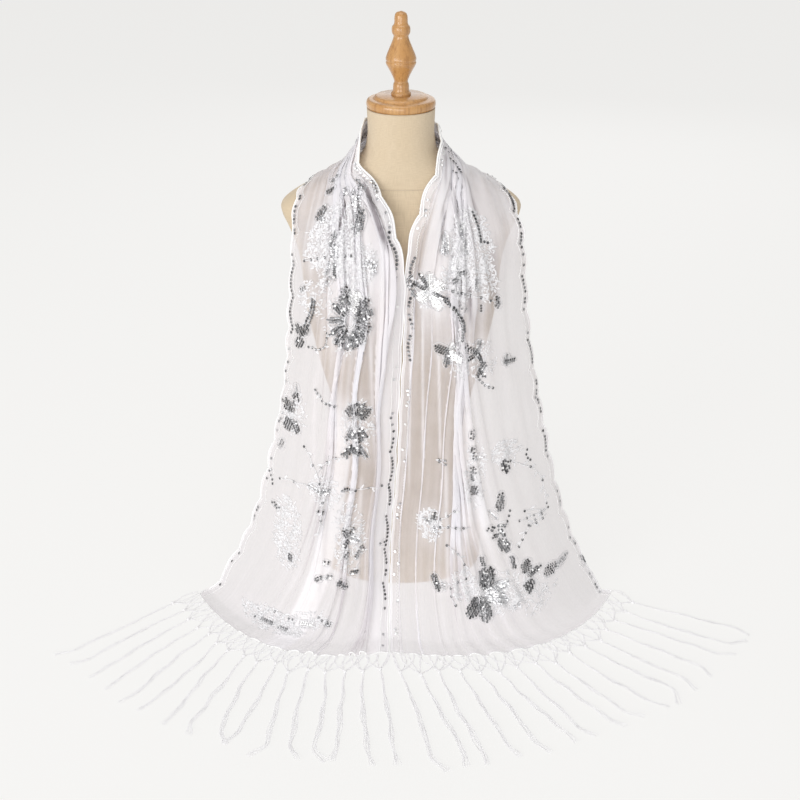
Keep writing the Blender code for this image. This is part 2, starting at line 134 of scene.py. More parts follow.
NECK_WRAP = rows_of(
    Section,
    ("behind_left", (-0.042, 0.042, 0.742), (-0.060, 0.055, 0.696), (-0.100, 0.078, 0.642)),
    ("nape", (0.000, 0.058, 0.740), (0.000, 0.077, 0.692), (0.000, 0.104, 0.638)),
    ("behind_right", (0.042, 0.042, 0.740), (0.061, 0.055, 0.694), (0.104, 0.078, 0.640)),
)
RIGHT_END = rows_of(
    Section,
    ("crest", (0.056, 0.000, 0.738), (0.079, 0.000, 0.688), (0.155, 0.000, 0.646)),
    ("front_slope", (0.051, -0.045, 0.697), (0.098, -0.052, 0.661), (0.172, -0.034, 0.627)),
    ("collarbone", (0.034, -0.074, 0.664), (0.100, -0.084, 0.634), (0.181, -0.052, 0.598)),
    ("chest", (0.014, -0.106, 0.612), (0.098, -0.112, 0.588), (0.186, -0.062, 0.555)),
    ("bust", (0.0065, -0.124, 0.560), (0.100, -0.126, 0.530), (0.190, -0.068, 0.500)),
    ("under_bust", (0.0035, -0.134, 0.460), (0.106, -0.138, 0.435), (0.202, -0.073, 0.415)),
    ("waist", (-0.0015, -0.137, 0.350), (0.118, -0.147, 0.330), (0.219, -0.078, 0.325)),
    ("hip", (-0.0065, -0.143, 0.240), (0.130, -0.160, 0.225), (0.240, -0.083, 0.230)),
    ("skirt", (-0.0145, -0.156, 0.140), (0.146, -0.182, 0.130), (0.266, -0.089, 0.135)),
    ("flare", (-0.0175, -0.190, 0.055), (0.165, -0.214, 0.050), (0.296, -0.098, 0.062)),
    ("landing", (-0.0175, -0.250, 0.000), (0.194, -0.245, 0.000), (0.332, -0.113, 0.001)),
    ("hem", (-0.0165, -0.282, 0.000), (0.208, -0.268, 0.000), (0.347, -0.122, 0.000)),
)
SECTIONS = LEFT_END + NECK_WRAP + RIGHT_END

# Folds from the inner edge outwards: share of the cloth's width near the shoulder and below the
# waist, relative depth at each of FOLD_PLACES, and how far the ridge leans over at the chest and
# below it, outwards if above 0. Narrow folds are tucks, and shallow ones leave one sheer layer
FOLD_PLACES = (0.00, 0.16, 0.42, 0.80)  # distances from the crest of the shoulder
Fold = namedtuple("Fold", "high low crest chest waist hem lean low_lean")
LEFT_FOLDS = rows_of(
    Fold,
    (0.055, 0.075, 0.50, 0.30, 0.30, 0.35, 0.0, 0.0),
    (0.075, 0.085, 1.10, 1.25, 1.25, 0.95, -1.0, 0.3),
    (0.070, 0.080, 1.10, 1.20, 1.25, 0.95, -0.8, 0.3),
    (0.060, 0.055, 1.10, 1.10, 1.00, 0.60, -0.5, 0.2),
    (0.050, 0.070, 1.00, 0.60, 0.25, 0.30, 0.0, 0.0),
    (0.018, 0.018, 1.00, 1.00, 1.20, 1.00, -0.5, -0.4),
    (0.075, 0.075, 1.05, 1.20, 1.25, 0.80, -0.8, -0.6),
    (0.080, 0.080, 1.05, 1.20, 1.20, 0.60, -0.6, -0.5),
    (0.070, 0.070, 1.00, 0.90, 0.50, 0.25, 0.0, 0.0),
    (0.020, 0.020, 1.00, 1.00, 1.20, 0.60, 0.5, 0.4),
    (0.070, 0.070, 1.00, 1.20, 1.20, 0.30, 0.5, 0.5),
    (0.065, 0.065, 1.00, 1.10, 1.10, 0.24, 0.5, 0.5),
    (0.075, 0.075, 0.90, 0.90, 0.60, 0.14, 0.2, 0.0),
    (0.072, 0.072, 0.80, 0.70, 0.40, 0.10, 0.0, 0.0),
    (0.080, 0.070, 0.60, 0.45, 0.26, 0.07, 0.0, 0.0),
    (0.065, 0.055, 0.45, 0.25, 0.18, 0.05, 0.0, 0.0),
)
RIGHT_FOLDS = rows_of(
    Fold,
    (0.040, 0.035, 0.50, 0.30, 0.30, 0.40, 0.0, 0.0),
    (0.020, 0.020, 0.90, 0.90, 1.20, 1.00, -0.5, -0.3),
    (0.065, 0.060, 0.90, 0.50, 0.25, 0.35, 0.0, 0.0),
    (0.020, 0.020, 0.90, 0.90, 1.20, 1.00, -0.5, -0.3),
    (0.070, 0.065, 0.90, 0.50, 0.25, 0.40, 0.0, 0.0),
    (0.025, 0.025, 0.90, 0.90, 1.20, 0.90, 0.5, 0.3),
    (0.060, 0.060, 1.00, 0.80, 0.35, 0.50, 0.0, 0.0),
    (0.080, 0.085, 1.10, 1.25, 1.25, 0.80, -0.9, -0.8),
    (0.080, 0.085, 1.10, 1.20, 1.25, 0.70, -0.8, -0.8),
    (0.075, 0.080, 1.05, 1.10, 1.20, 0.60, -0.6, -0.6),
    (0.070, 0.075, 1.00, 1.10, 1.05, 0.50, -0.5, -0.4),
    (0.075, 0.075, 0.95, 0.90, 0.85, 0.26, 0.3, 0.3),
    (0.070, 0.070, 0.85, 0.80, 0.60, 0.18, 0.3, 0.3),
    (0.075, 0.075, 0.70, 0.50, 0.30, 0.10, 0.0, 0.0),
    (0.095, 0.090, 0.50, 0.30, 0.20, 0.06, 0.0, 0.0),
    (0.085, 0.085, 0.40, 0.22, 0.15, 0.05, 0.0, 0.0),
)
STEEPEST_FOLD = 2.25  # radians that a fold's wall may lean from the drape
FOLD_FLATNESS = 0.5  # of a free fold's height, since the folds lie pressed on the form
CREST_FLATNESS = 0.28  # the same, on the crest of a shoulder

# Creases: both ends by x and by the distance up from the hem, half width, depth, and shade.
# The shade is painted shadow, a dark tint of the net along the crease. A crease with a depth
# under 0 is a ridge, and one with a shade under 0 shows pale
Crease = namedtuple("Crease", "side x up end_x end_up width depth shade")
CREASES = on_sides(
    Crease,
    left=(
        (-0.056, 0.738, -0.016, 0.626, 0.0036, 0.0030, 1.05),
        (-0.079, 0.722, -0.090, 0.672, 0.0024, 0.0016, 0.85),
        (-0.098, 0.712, -0.106, 0.668, 0.0020, 0.0012, 0.55),
        (-0.070, 0.690, -0.077, 0.630, 0.0030, 0.0012, 0.40),
        (-0.045, 0.520, -0.040, 0.300, 0.0022, -0.0010, -0.70),
        (-0.095, 0.480, -0.100, 0.300, 0.0030, -0.0010, -0.50),
        (-0.128, 0.470, -0.136, 0.280, 0.0030, -0.0010, -0.50),
        (-0.060, 0.300, -0.070, 0.090, 0.0030, -0.0010, -0.50),
        (-0.112, 0.260, -0.128, 0.080, 0.0040, 0.0014, 0.20),
    ),
    right=(
        (0.094, 0.770, 0.119, 0.665, 0.0022, 0.0018, 0.60),
        (0.072, 0.735, 0.086, 0.672, 0.0018, 0.0012, 0.45),
        (0.062, 0.700, 0.057, 0.610, 0.0026, 0.0014, 0.40),
        (0.066, 0.780, 0.064, 0.715, 0.0018, 0.0010, 0.50),
        (0.098, 0.620, 0.101, 0.530, 0.0032, 0.0022, 0.80),
        (0.133, 0.660, 0.139, 0.570, 0.0060, 0.0014, 0.50),
        (0.015, 0.560, 0.012, 0.250, 0.0016, -0.0010, -0.90),
        (0.031, 0.560, 0.034, 0.280, 0.0018, -0.0010, -0.90),
        (0.055, 0.500, 0.060, 0.300, 0.0018, -0.0010, -0.90),
        (0.068, 0.330, 0.074, 0.090, 0.0030, -0.0010, -0.60),
        (0.108, 0.300, 0.124, 0.080, 0.0040, 0.0014, 0.20),
    ),
)
CLOTH_ROWS = 440
FOLD_COLUMNS = 13
CLOTH_COLUMNS = FOLD_COLUMNS * len(LEFT_FOLDS)
SCALLOP_PITCH = 0.054
SCALLOP_DEPTH = 0.0070
MEETING_SCALLOP_DEPTH = 0.0016  # of the inner edges, where both ends hang side by side
TRIM_WIDTH = 0.0145

# Cords of the edges: radii, and how far in they lie
EDGE_CORD = 0.0016
FINE_CORD = 0.0009
TRIM_CORD = 0.0005
FINE_CORD_INSET = 0.0048
HEM_INSET = 0.0006

# Fringe
TASSELS = 16
LEG_FEET = (-0.92, -0.36, 0.36, 0.92)  # where the legs of a knot start, as shares of the pitch
LEG_HALF_WIDTH = 0.0010
LEG_PLY = 0.00075  # radius of a ply
KNOT_REACH = 0.042
KNOT_LENGTH = 0.005
KNOT_HEIGHT = 0.0030
TAIL_HEIGHT = 0.0020
Fan = namedtuple("Fan", "side first_angle last_angle front_reach side_reach seed")
FANS = rows_of(
    Fan,
    ("left", 1.5, 61.0, 0.528, 0.597, 3),
    ("right", 5.5, 67.5, 0.535, 0.600, 8),
)

# ---------------------------------------------------------------------------------------------
# Shapes of the form and of the drape


def smooth_curve(knots, values, at):
    """Cubic through the values, whose slope at each knot follows its two neighbours."""
    knots = np.asarray(knots, float)
    values = np.asarray(values, float).reshape(len(knots), -1)
    slopes = np.gradient(values, knots, axis=0)
    at = np.clip(np.asarray(at, float), knots[0], knots[-1])
    left = np.clip(np.searchsorted(knots, at, side="right") - 1, 0, len(knots) - 2)
    step = (knots[left + 1] - knots[left])[:, None]
    share = ((at - knots[left]) / step[:, 0])[:, None]
    squared, cubed = share**2, share**3
    return (
        (2 * cubed - 3 * squared + 1) * values[left]
        + (cubed - 2 * squared + share) * step * slopes[left]
        + (3 * squared - 2 * cubed) * values[left + 1]
        + (cubed - squared) * step * slopes[left + 1]
    )


def form_measures(heights):
    """Half width, front depth and back depth of the form at these heights."""
    levels = [level.height for level in FORM_LEVELS]
    return smooth_curve(levels, [level[1:] for level in FORM_LEVELS], heights).T


def form_point(turn, height, proud=0.0):
    """Points on the form's surface at these turns round its axis, or this far outside it."""
    half_width, front, back = form_measures(height)
    cosine, sine = np.cos(turn), np.sin(turn)
    power = 2 / FORM_SQUARENESS
    depth = np.where(sine < 0, front, back) + proud
    x = np.sign(cosine) * np.abs(cosine) ** power * (half_width + proud)
    y = np.sign(sine) * np.abs(sine) ** power * depth
    return np.stack([x, y, np.broadcast_to(height, x.shape)], axis=-1)


def form_radius(points):
    """1 on the form's surface and more outside it, by the superellipse at each height."""
    half_width, front, back = form_measures(points[:, 2])
    depth = np.where(points[:, 1] < 0, front, back)
    power = FORM_SQUARENESS
    return (
        np.abs(points[:, 0] / half_width) ** power + np.abs(points[:, 1] / depth) ** power
    ) ** (1 / power)


def clear_of_form(points, clearance, rounds=5):
    """Moves each point that is nearer the form than the clearance out along the form's slope."""
    points = points.copy()
    probe = 0.0005
    for _ in range(rounds):
        radius = form_radius(points)
        slope = np.empty_like(points)
        for axis in range(3):
            moved = points.copy()
            moved[:, axis] += probe
            slope[:, axis] = (form_radius(moved) - radius) / probe
        steepness = np.maximum(np.linalg.norm(slope, axis=1), 1e-6)
        short = np.clip(clearance - (radius - 1) / steepness, 0, 0.01)
        points += slope / steepness[:, None] * short[:, None]
    return points


def run_along(line):
    """Distance of each point of a line from its start, along the line."""
    steps = np.linalg.norm(np.diff(line, axis=0), axis=1)
    return np.concatenate([[0], np.cumsum(steps)])


def at_distances(distances, reach, values):
    """A line's values at these distances along it, by the distance that each point has."""
    return np.stack([np.interp(distances, reach, column) for column in values.T], axis=-1)


# Distance of each section from the left hem, along the stole's middle line
STATIONS = run_along(np.array([section.middle for section in SECTIONS]))
CLOTH_LENGTH = STATIONS[-1]
CREST_LEFT = STATIONS[len(LEFT_END) - 1]
CREST_RIGHT = STATIONS[len(LEFT_END) + len(NECK_WRAP)]


def drape(along, across):
    """Points of the smooth drape under the folds, for distances along and shares across."""
    edges = [
        smooth_curve(STATIONS, [getattr(section, edge) for section in SECTIONS], along)
        for edge in ("inner", "middle", "outer")
    ]
    inner, middle, outer = (edge[:, None, :] for edge in edges)
    share = np.asarray(across)[None, :, None]
    points = (
        inner * (2 * share - 1) * (share - 1)
        + middle * 4 * share * (1 - share)
        + outer * share * (2 * share - 1)
    )
    flat = clear_of_form(points.reshape(-1, 3), FORM_CLEARANCE)
    flat[:, 2] = np.maximum(flat[:, 2], 0)
    return flat.reshape(points.shape)


def eased(value, start, end):
    """0 before the start and 1 past the end, with a smooth rise between them."""
    share = np.clip((value - start) / (end - start), 0, 1)
    return share * share * (3 - 2 * share)


def unit(vectors):
    """The vectors at length 1."""
    return vectors / np.maximum(np.linalg.norm(vectors, axis=-1, keepdims=True), 1e-9)


# ---------------------------------------------------------------------------------------------
# The folded cloth


def from_hem(side, along):
    """Distance up from this side's hem for a distance along the cloth, and the other way round."""
    return along if side == "left" else CLOTH_LENGTH - along


def below_crest(along):
    """Distance down the stole from the crest of the nearer shoulder, and 0 between the crests."""
    return np.maximum(np.maximum(CREST_LEFT - along, along - CREST_RIGHT), 0)


def scallop(along, side):
    """How far this cut edge stands in from the cloth's full width, with cusps between lobes."""
    depth = SCALLOP_DEPTH
    if side == "inner":
        meeting = eased(below_crest(along), 0.13, 0.19)
        depth = SCALLOP_DEPTH + (MEETING_SCALLOP_DEPTH - SCALLOP_DEPTH) * meeting
    return depth * (1 - np.abs(np.sin(math.pi * along / SCALLOP_PITCH)))


def fold_state(along):
    """The folds' ends across the cloth, depths and leans, one row for each distance."""
    chance = np.random.default_rng(11)
    left, right = np.array(LEFT_FOLDS), np.array(RIGHT_FOLDS)
    on_right = eased(along, CREST_LEFT, CREST_RIGHT)[:, None]
    past_crest = below_crest(along)
    lower = eased(past_crest, 0.22, 0.40)[:, None]
    falling = eased(past_crest, 0.34, 0.43)[:, None]
    wander = 1 - 0.7 * lower[:, 0]

    def blended(side):
        shares = side[:, 0] * (1 - lower) + side[:, 1] * lower
        return shares / shares.sum(axis=1, keepdims=True)

    def leaning(side):
        return side[:, 6] * (1 - falling) + side[:, 7] * falling

    shares = blended(left) * (1 - on_right) + blended(right) * on_right
    depths = smooth_curve(FOLD_PLACES, left[:, 2:6].T, past_crest) * (1 - on_right)
    depths += smooth_curve(FOLD_PLACES, right[:, 2:6].T, past_crest) * on_right
    leans = leaning(left) * (1 - on_right) + leaning(right) * on_right
    ends = np.concatenate([np.zeros((len(along), 1)), np.cumsum(shares, axis=1)], axis=1)
    count = len(left)
    for fold in range(1, count):
        wave = chance.uniform(0.22, 0.55)
        phase = chance.uniform(0, 2 * math.pi)
        room = np.minimum(shares[:, fold - 1], shares[:, fold])
        ends[:, fold] += 0.16 * wander * room * np.sin(2 * math.pi * along / wave + phase)
    for fold in range(count):
        wave = chance.uniform(0.18, 0.45)
        phase = chance.uniform(0, 2 * math.pi)
        depths[:, fold] *= 1 + 0.12 * wander * np.sin(2 * math.pi * along / wave + phase)
        leans[:, fold] += 0.35 * wander * np.sin(2 * math.pi * along / (1.7 * wave) + phase)
    return ends / ends[:, -1:], depths, leans


def folded_row(ends, depths, leans, columns, span, flatness):
    """Run, rise, wall angle and fold depth at each column of a row whose folds fill the span."""
    count = len(depths)
    fine = np.linspace(0, 1, 40 * count + 1)
    index = np.clip(np.searchsorted(ends, fine, side="right") - 1, 0, count - 1)
    turn = (fine - ends[index]) / (ends[index + 1] - ends[index])
    swing = depths[index] * np.sin(2 * math.pi * turn)
    low, high = 0.0, STEEPEST_FOLD
    for _ in range(24):
        middle = (low + high) / 2
        wide = np.cos(middle * swing).mean() * CLOTH_WIDTH > span
        low, high = (middle, high) if wide else (low, middle)
    angle = low * swing
    steps = ((slope[1:] + slope[:-1]) / 2 for slope in (np.cos(angle), np.sin(angle)))
    run, rise = (np.concatenate([[0], np.cumsum(step)]) for step in steps)
    scale = span / run[-1]
    rise = rise * scale * flatness
    run = run * scale + leans[index] * rise
    measures = (run, rise, np.abs(angle), depths[index])
    return (np.interp(columns, fine, value) for value in measures)


def crease_marks(x, along):
    """Depth of the creases at these places of the cloth, and their painted shadow."""
    depth, shade = np.zeros_like(x), np.zeros_like(x)
    for crease in CREASES:
        up = from_hem(crease.side, along)
        share = (up - crease.up) / (crease.end_up - crease.up)
        place = crease.x + (crease.end_x - crease.x) * share
        near = np.exp(-(((x - place) / crease.width) ** 2))
        near *= eased(share, -0.06, 0.18) * (1 - eased(share, 0.7, 1.06))
        depth += crease.depth * near
        shade += crease.shade * near
    return depth, shade


def ripple(along, across):
    """Small crinkles of a soft net, as heights, longer along the cloth than across it."""
    chance = np.random.default_rng(23)
    height = np.zeros_like(along)
    hem = np.minimum(along, CLOTH_LENGTH - along)
    for _ in range(14):
        across_wave = chance.uniform(0.014, 0.055)
        along_wave = chance.uniform(0.08, 0.34) * chance.choice([-1, 1])
        phase = chance.uniform(0, 2 * math.pi)
        size = chance.uniform(0.00010, 0.00034)
        height += size * np.sin(2 * math.pi * (across / across_wave + along / along_wave) + phase)
    return height * (0.35 + 0.65 * eased(hem, 0.15, 0.50))


def folded_cloth():
    """The cloth's grid: points, distances across and along, wall angle, depth and painted crease
    shadow.
    """
    along = np.linspace(0, CLOTH_LENGTH, CLOTH_ROWS + 1)
    wide = np.linspace(-0.12, 1.12, 75)
    probe = 0.004
    base = drape(along, wide)
    lengthwise = drape(along + probe, wide) - drape(along - probe, wide)
    normals = unit(np.cross(lengthwise, np.gradient(base, axis=1)))
    inset = scallop(along, "inner")[:, None] / CLOTH_WIDTH
    far_inset = scallop(along, "outer")[:, None] / CLOTH_WIDTH
    ends, depths, leans = fold_state(along)
    columns = np.arange(CLOTH_COLUMNS + 1) / FOLD_COLUMNS
    shares = np.array([np.interp(columns, range(len(LEFT_FOLDS) + 1), row) for row in ends])
    shares = inset + (1 - inset - far_inset) * shares
    points = np.empty((*shares.shape, 3))
    steep, depth = np.empty(shares.shape), np.empty(shares.shape)
    past_crest = below_crest(along)
    flatness = CREST_FLATNESS + (FOLD_FLATNESS - CREST_FLATNESS) * eased(past_crest, 0.02, 0.30)
    for row in range(len(along)):
        reach = run_along(base[row])
        start, end = np.interp([0, 1], wide, reach)
        run, rise, steep[row], depth[row] = folded_row(
            ends[row], depths[row], leans[row], shares[row], end - start, flatness[row]
        )
        place = at_distances(start + run, reach, base[row])
        points[row] = place + at_distances(start + run, reach, normals[row]) * rise[:, None]
    across = shares * CLOTH_WIDTH
    along = np.broadcast_to(along[:, None], across.shape)
    facing = grid_normals(points)
    trough, shade = crease_marks(points[..., 0], along)
    points += facing * (ripple(along, across) - trough)[..., None]
    flat = clear_of_form(points.reshape(-1, 3), FORM_CLEARANCE, 3)
    flat[:, 2] = np.maximum(flat[:, 2], FLOOR_CLEARANCE)
    return flat.reshape(points.shape), across, along, steep, depth, shade


def grid_normals(points):
    """Outward unit normals of a grid of points."""
    return unit(np.cross(np.gradient(points, axis=0), np.gradient(points, axis=1)))


def averaged(vectors, columns):
    """Unit vectors of a grid, each the mean of those up to this many columns to either side."""
    padded = np.pad(vectors, ((0, 0), (columns + 1, columns), (0, 0)), mode="edge")
    sums = np.cumsum(padded, axis=1)
    return unit(sums[:, 2 * columns + 1 :] - sums[:, : -2 * columns - 1])


CLOTH, ACROSS, ALONG, STEEP, DEPTH, PAINTED_CREASE_SHADE = folded_cloth()
CLOTH_FACING = grid_normals(CLOTH)
BROAD_FACING = averaged(CLOTH_FACING, FOLD_COLUMNS)  # how the drape faces under its folds
FRONT_WAY = np.array([0.0, -0.89, 0.46])  # out of the front and up, to pick what shows there


def same_way(vectors, facing):
    """The vectors, turned round where they point away from the facing."""
    return vectors * np.where((vectors * facing).sum(axis=-1, keepdims=True) < 0, -1, 1)


def nearest_row(along):
    """Row of the cloth's grid that is nearest each distance along the cloth."""
    return np.clip(along / CLOTH_LENGTH * CLOTH_ROWS, 0, CLOTH_ROWS).round().astype(int)


def within_edges(across, along, edge_margin, hem_margin):
    """Which places are further in than these margins from the long edges and from the hems."""
    inside = (across > edge_margin) & (across < CLOTH_WIDTH - edge_margin)
    return inside & (along > hem_margin) & (along < CLOTH_LENGTH - hem_margin)


def on_cloth(across, along, lift=0.0, broad=0.0):
    """Points on the cloth at these coordinates, lifted off it, and the cloth's facing there.

    The facing follows the folds, or with a share of broad above 0 more the drape under them.
    """
    across, along = np.asarray(across, float), np.asarray(along, float)
    row = np.clip(along / CLOTH_LENGTH * CLOTH_ROWS, 0, CLOTH_ROWS - 1e-6)
    low_row = row.astype(int)
    columns = np.arange(CLOTH_COLUMNS + 1)
    column = [np.interp(place, ACROSS[at], columns) for place, at in zip(across, low_row)]
    column = np.clip(column, 0, CLOTH_COLUMNS - 1e-6)
    low_column = column.astype(int)
    on_row, on_column = (row - low_row)[:, None], (column - low_column)[:, None]

    def between_points(grid):
        near = grid[low_row, low_column] * (1 - on_column)
        near = near + grid[low_row, low_column + 1] * on_column
        far = grid[low_row + 1, low_column] * (1 - on_column)
        far = far + grid[low_row + 1, low_column + 1] * on_column
        return near * (1 - on_row) + far * on_row

    facing = unit(between_points(CLOTH_FACING))
    if broad:
        drape_facing = same_way(between_points(BROAD_FACING), facing)
        facing = unit(facing * (1 - broad) + drape_facing * broad)
    return between_points(CLOTH) + facing * np.reshape(lift, (-1, 1)), facing


def in_front(side, x, up):
    """Cloth coordinates of what shows in front at this x, up from the hem of this side's end."""
    x, up = np.asarray(x, float), np.asarray(up, float)
    along = np.clip(from_hem(side, up), 0, CLOTH_LENGTH)
    across = []
    for row, place in zip(nearest_row(along), x):
        line, widths = CLOTH[row], ACROSS[row]
        beyond = line[:, 0] > place
        crossed = np.flatnonzero(beyond[1:] != beyond[:-1])
        if not len(crossed):
            across.append(widths[np.abs(line[:, 0] - place).argmin()])
            continue
        column = crossed[(line[crossed] @ FRONT_WAY).argmax()]
        share = (place - line[column, 0]) / (line[column + 1, 0] - line[column, 0])
        across.append(widths[column] * (1 - share) + widths[column + 1] * share)
    return np.array(across), along


# ---------------------------------------------------------------------------------------------
# Mesh helpers

UP = np.array([0.0, 0.0, 1.0])


def mesh_object(name, points, faces, material, smooth=True):
    """An object at the origin with its points in place."""
    mesh = bpy.data.meshes.new(name)
    mesh.from_pydata(points, [], faces)
    if smooth:
        mesh.shade_smooth()
    mesh.materials.append(material)
    obj = bpy.data.objects.new(name, mesh)
    bpy.context.scene.collection.objects.link(obj)
    return obj


def grid_faces(rows, columns, closed=False):
    """Corners of the faces of a grid of points, which may close on itself across."""
    starts = np.arange(rows - 1), np.arange(columns if closed else columns - 1)
    row, column = np.meshgrid(*starts, indexing="ij")
    after = (column + 1) % columns
    corners = (row * columns + column, (row + 1) * columns + column,
               (row + 1) * columns + after, row * columns + after)
    return np.stack([corner.ravel() for corner in corners], axis=1)


def add_values(mesh, name, values):
    """A number for each point of the mesh, under this name."""
    layer = mesh.attributes.new(name, "FLOAT", "POINT")
    layer.data.foreach_set("value", np.asarray(values, np.float32).ravel())


def face_corners(mesh):
    """The point at each corner of each face."""
    return np.array([loop.vertex_index for loop in mesh.loops])


def add_uv(mesh, name, places):
    """Flat coordinates for each corner of each face, under this name."""
    layer = mesh.uv_layers.new(name=name)
    layer.data.foreach_set("uv", places.astype(np.float32).ravel())


def round_turns(sides):
    """Even turns round a circle, from 0."""
    return 2 * math.pi * np.arange(sides) / sides


def ways_along(line, up):
    """Unit vectors ahead and aside at each point of a line."""
    ahead = unit(np.gradient(line, axis=0))
    return ahead, unit(np.cross(ahead, np.broadcast_to(up, line.shape)))


def tube(line, radius, up, sides=5, squash=1.0):
    """Points and faces of a closed tube round a line, with the ends drawn in.

    A squash under 1 makes it as much lower than wide.
    """
    ahead, aside = ways_along(line, up)
    above = np.cross(aside, ahead)
    turns = round_turns(sides)
    ring = np.cos(turns)[:, None, None] * aside + squash * np.sin(turns)[:, None, None] * above
    radius = np.broadcast_to(radius, len(line)).copy()
    radius[[0, -1]] *= 0.5
    points = (line + ring * radius[:, None]).transpose(1, 0, 2).reshape(-1, 3)
    faces = [list(face) for face in grid_faces(len(line), sides, closed=True)]
    last = (len(line) - 1) * sides
    faces += [list(range(sides)), [last + side for side in reversed(range(sides))]]
    return points, faces


def joined(name, pieces, material, floor=0.0):
    """One object from several lists of points and faces, with nothing below the floor."""
    points, faces, start = [], [], 0
    for piece_points, piece_faces in pieces:
        points.append(piece_points)
        faces += [[start + corner for corner in face] for face in piece_faces]
        start += len(piece_points)
    points = np.concatenate(points)
    points[:, 2] = np.maximum(points[:, 2], floor)
    return mesh_object(name, points, faces, material)


def bundle(line, half_width, ply_radius, plies, chance):
    """Flat plies side by side along a line, which cross each other as they run."""
    _, aside = ways_along(line, UP)
    share = np.linspace(0, 1, len(line))
    made = []
    for ply in range(plies):
        place = (ply + 0.5) / plies * 2 - 1
        sway = chance.uniform(0.15, 0.5) * np.sin(
            2 * math.pi * share * chance.uniform(1.5, 4) + chance.uniform(0, 6)
        )
        lift = 0.0004 * np.sin(2 * math.pi * share * chance.uniform(2, 5) + ply)
        path = line + aside * (half_width * (place + sway))[:, None] + lift[:, None] * UP
        made.append(tube(path, ply_radius, UP, 6, 0.5))
    return made


# ---------------------------------------------------------------------------------------------
# Node helpers and materials

LINEN_LIGHT = (0.675, 0.56, 0.41, 1)
LINEN_WARM = (0.65, 0.53, 0.375, 1)
LINEN_DARK = (0.53, 0.42, 0.285, 1)
WOOD_LIGHT = (0.58, 0.325, 0.122, 1)
WOOD_MIDDLE = (0.49, 0.245, 0.080, 1)
WOOD_DARK = (0.29, 0.125, 0.036, 1)
NET_COVER = 0.49  # share of the flat net that is thread
# thin net is painted darker than dense net, a painted shade of its threads' cells
NET_SHEER_PAINTED_SHADE = (0.765, 0.725, 0.750, 1)
NET_WARM = (0.970, 0.935, 0.955, 1)
NET_COOL = (0.945, 0.935, 0.975, 1)
# painted shadow colour, tinted into the net along its creases
NET_PAINTED_SHADOW = (0.36, 0.32, 0.345, 1)
# tones of the silvered film, partly painted reflection and painted glints
SEQUIN_TONES_WITH_PAINTED_REFLECTION = {
    0.0: (0.05, 0.05, 0.053, 1),
    0.5: (0.30, 0.30, 0.31, 1),
    0.75: (0.62, 0.62, 0.64, 1),
    1.0: (1.0, 1.0, 1.0, 1),
}


def set_inputs(tree, made, inputs):
    """Gives each input of a node a value, or another node's output."""
    for name, value in inputs.items():
        socket = made.inputs[name]
        if isinstance(value, bpy.types.NodeSocket):
            tree.links.new(value, socket)
        else:
            socket.default_value = value


def node(tree, kind, inputs=None, **settings):
    """Adds a node with these inputs and settings."""
    made = tree.nodes.new(kind)
    for setting, value in settings.items():
        setattr(made, setting, value)
    set_inputs(tree, made, inputs or {})
    return made


def math_node(tree, operation, first, second=0.0):
    return node(tree, "ShaderNodeMath", {0: first, 1: second}, operation=operation).outputs[0]


def mixed_colour(tree, share, first, second):
    made = node(tree, "ShaderNodeMix", {0: share, 6: first, 7: second}, data_type="RGBA")
    return made.outputs[2]


def scaled(tree, vector, scale):
    """The vector stretched by a scale for each axis."""
    made = node(tree, "ShaderNodeVectorMath", {0: vector, 1: scale}, operation="MULTIPLY")
    return made.outputs[0]


def noise(tree, vector, scale, detail=3.0, roughness=0.5):
    inputs = {"Vector": vector, "Scale": scale, "Detail": detail, "Roughness": roughness}
    return node(tree, "ShaderNodeTexNoise", inputs).outputs[0]


def between(tree, value, low, high, to_low=0.0, to_high=1.0):
    """The value's range stretched to another, and held within it."""
    inputs = {0: value, 1: low, 2: high, 3: to_low, 4: to_high}
    return node(tree, "ShaderNodeMapRange", inputs).outputs[0]


def new_material(name):
    """A material with its tree, its shader and its output."""
    made = bpy.data.materials.new(name)
    made.use_nodes = True
    tree = made.node_tree
    return made, tree, tree.nodes["Principled BSDF"], tree.nodes["Material Output"]


def bumped(tree, height, strength, distance):
    """The shading normal over these heights."""
    inputs = {"Height": height, "Strength": strength, "Distance": distance}
    return node(tree, "ShaderNodeBump", inputs).outputs[0]


def linen_material():
    """Plain woven linen stretched on the form: slubbed threads both ways, a little uneven."""
    made, tree, shader, _ = new_material("woven_linen")
    where = node(tree, "ShaderNodeUVMap", uv_map="cover").outputs[0]
    warp = noise(tree, scaled(tree, where, (1500, 60, 1)), 1.0, 3)
    weft = noise(tree, scaled(tree, where, (60, 1500, 1)), 1.0, 3)
    slub = math_node(tree, "MULTIPLY", math_node(tree, "ADD", warp, weft), 0.5)
    cloud = noise(tree, where, 9.0, 4)
    tint = mixed_colour(tree, between(tree, cloud, 0.35, 0.65), LINEN_LIGHT, LINEN_WARM)
    tint = mixed_colour(tree, between(tree, slub, 0.42, 0.58, 0.0, 0.55), tint, LINEN_DARK)
    normal = bumped(tree, slub, 0.5, 0.0006)
    looks = {"Base Color": tint, "Roughness": 0.86, "Sheen Weight": 0.12, "Normal": normal}
    set_inputs(tree, shader, looks)
    return made


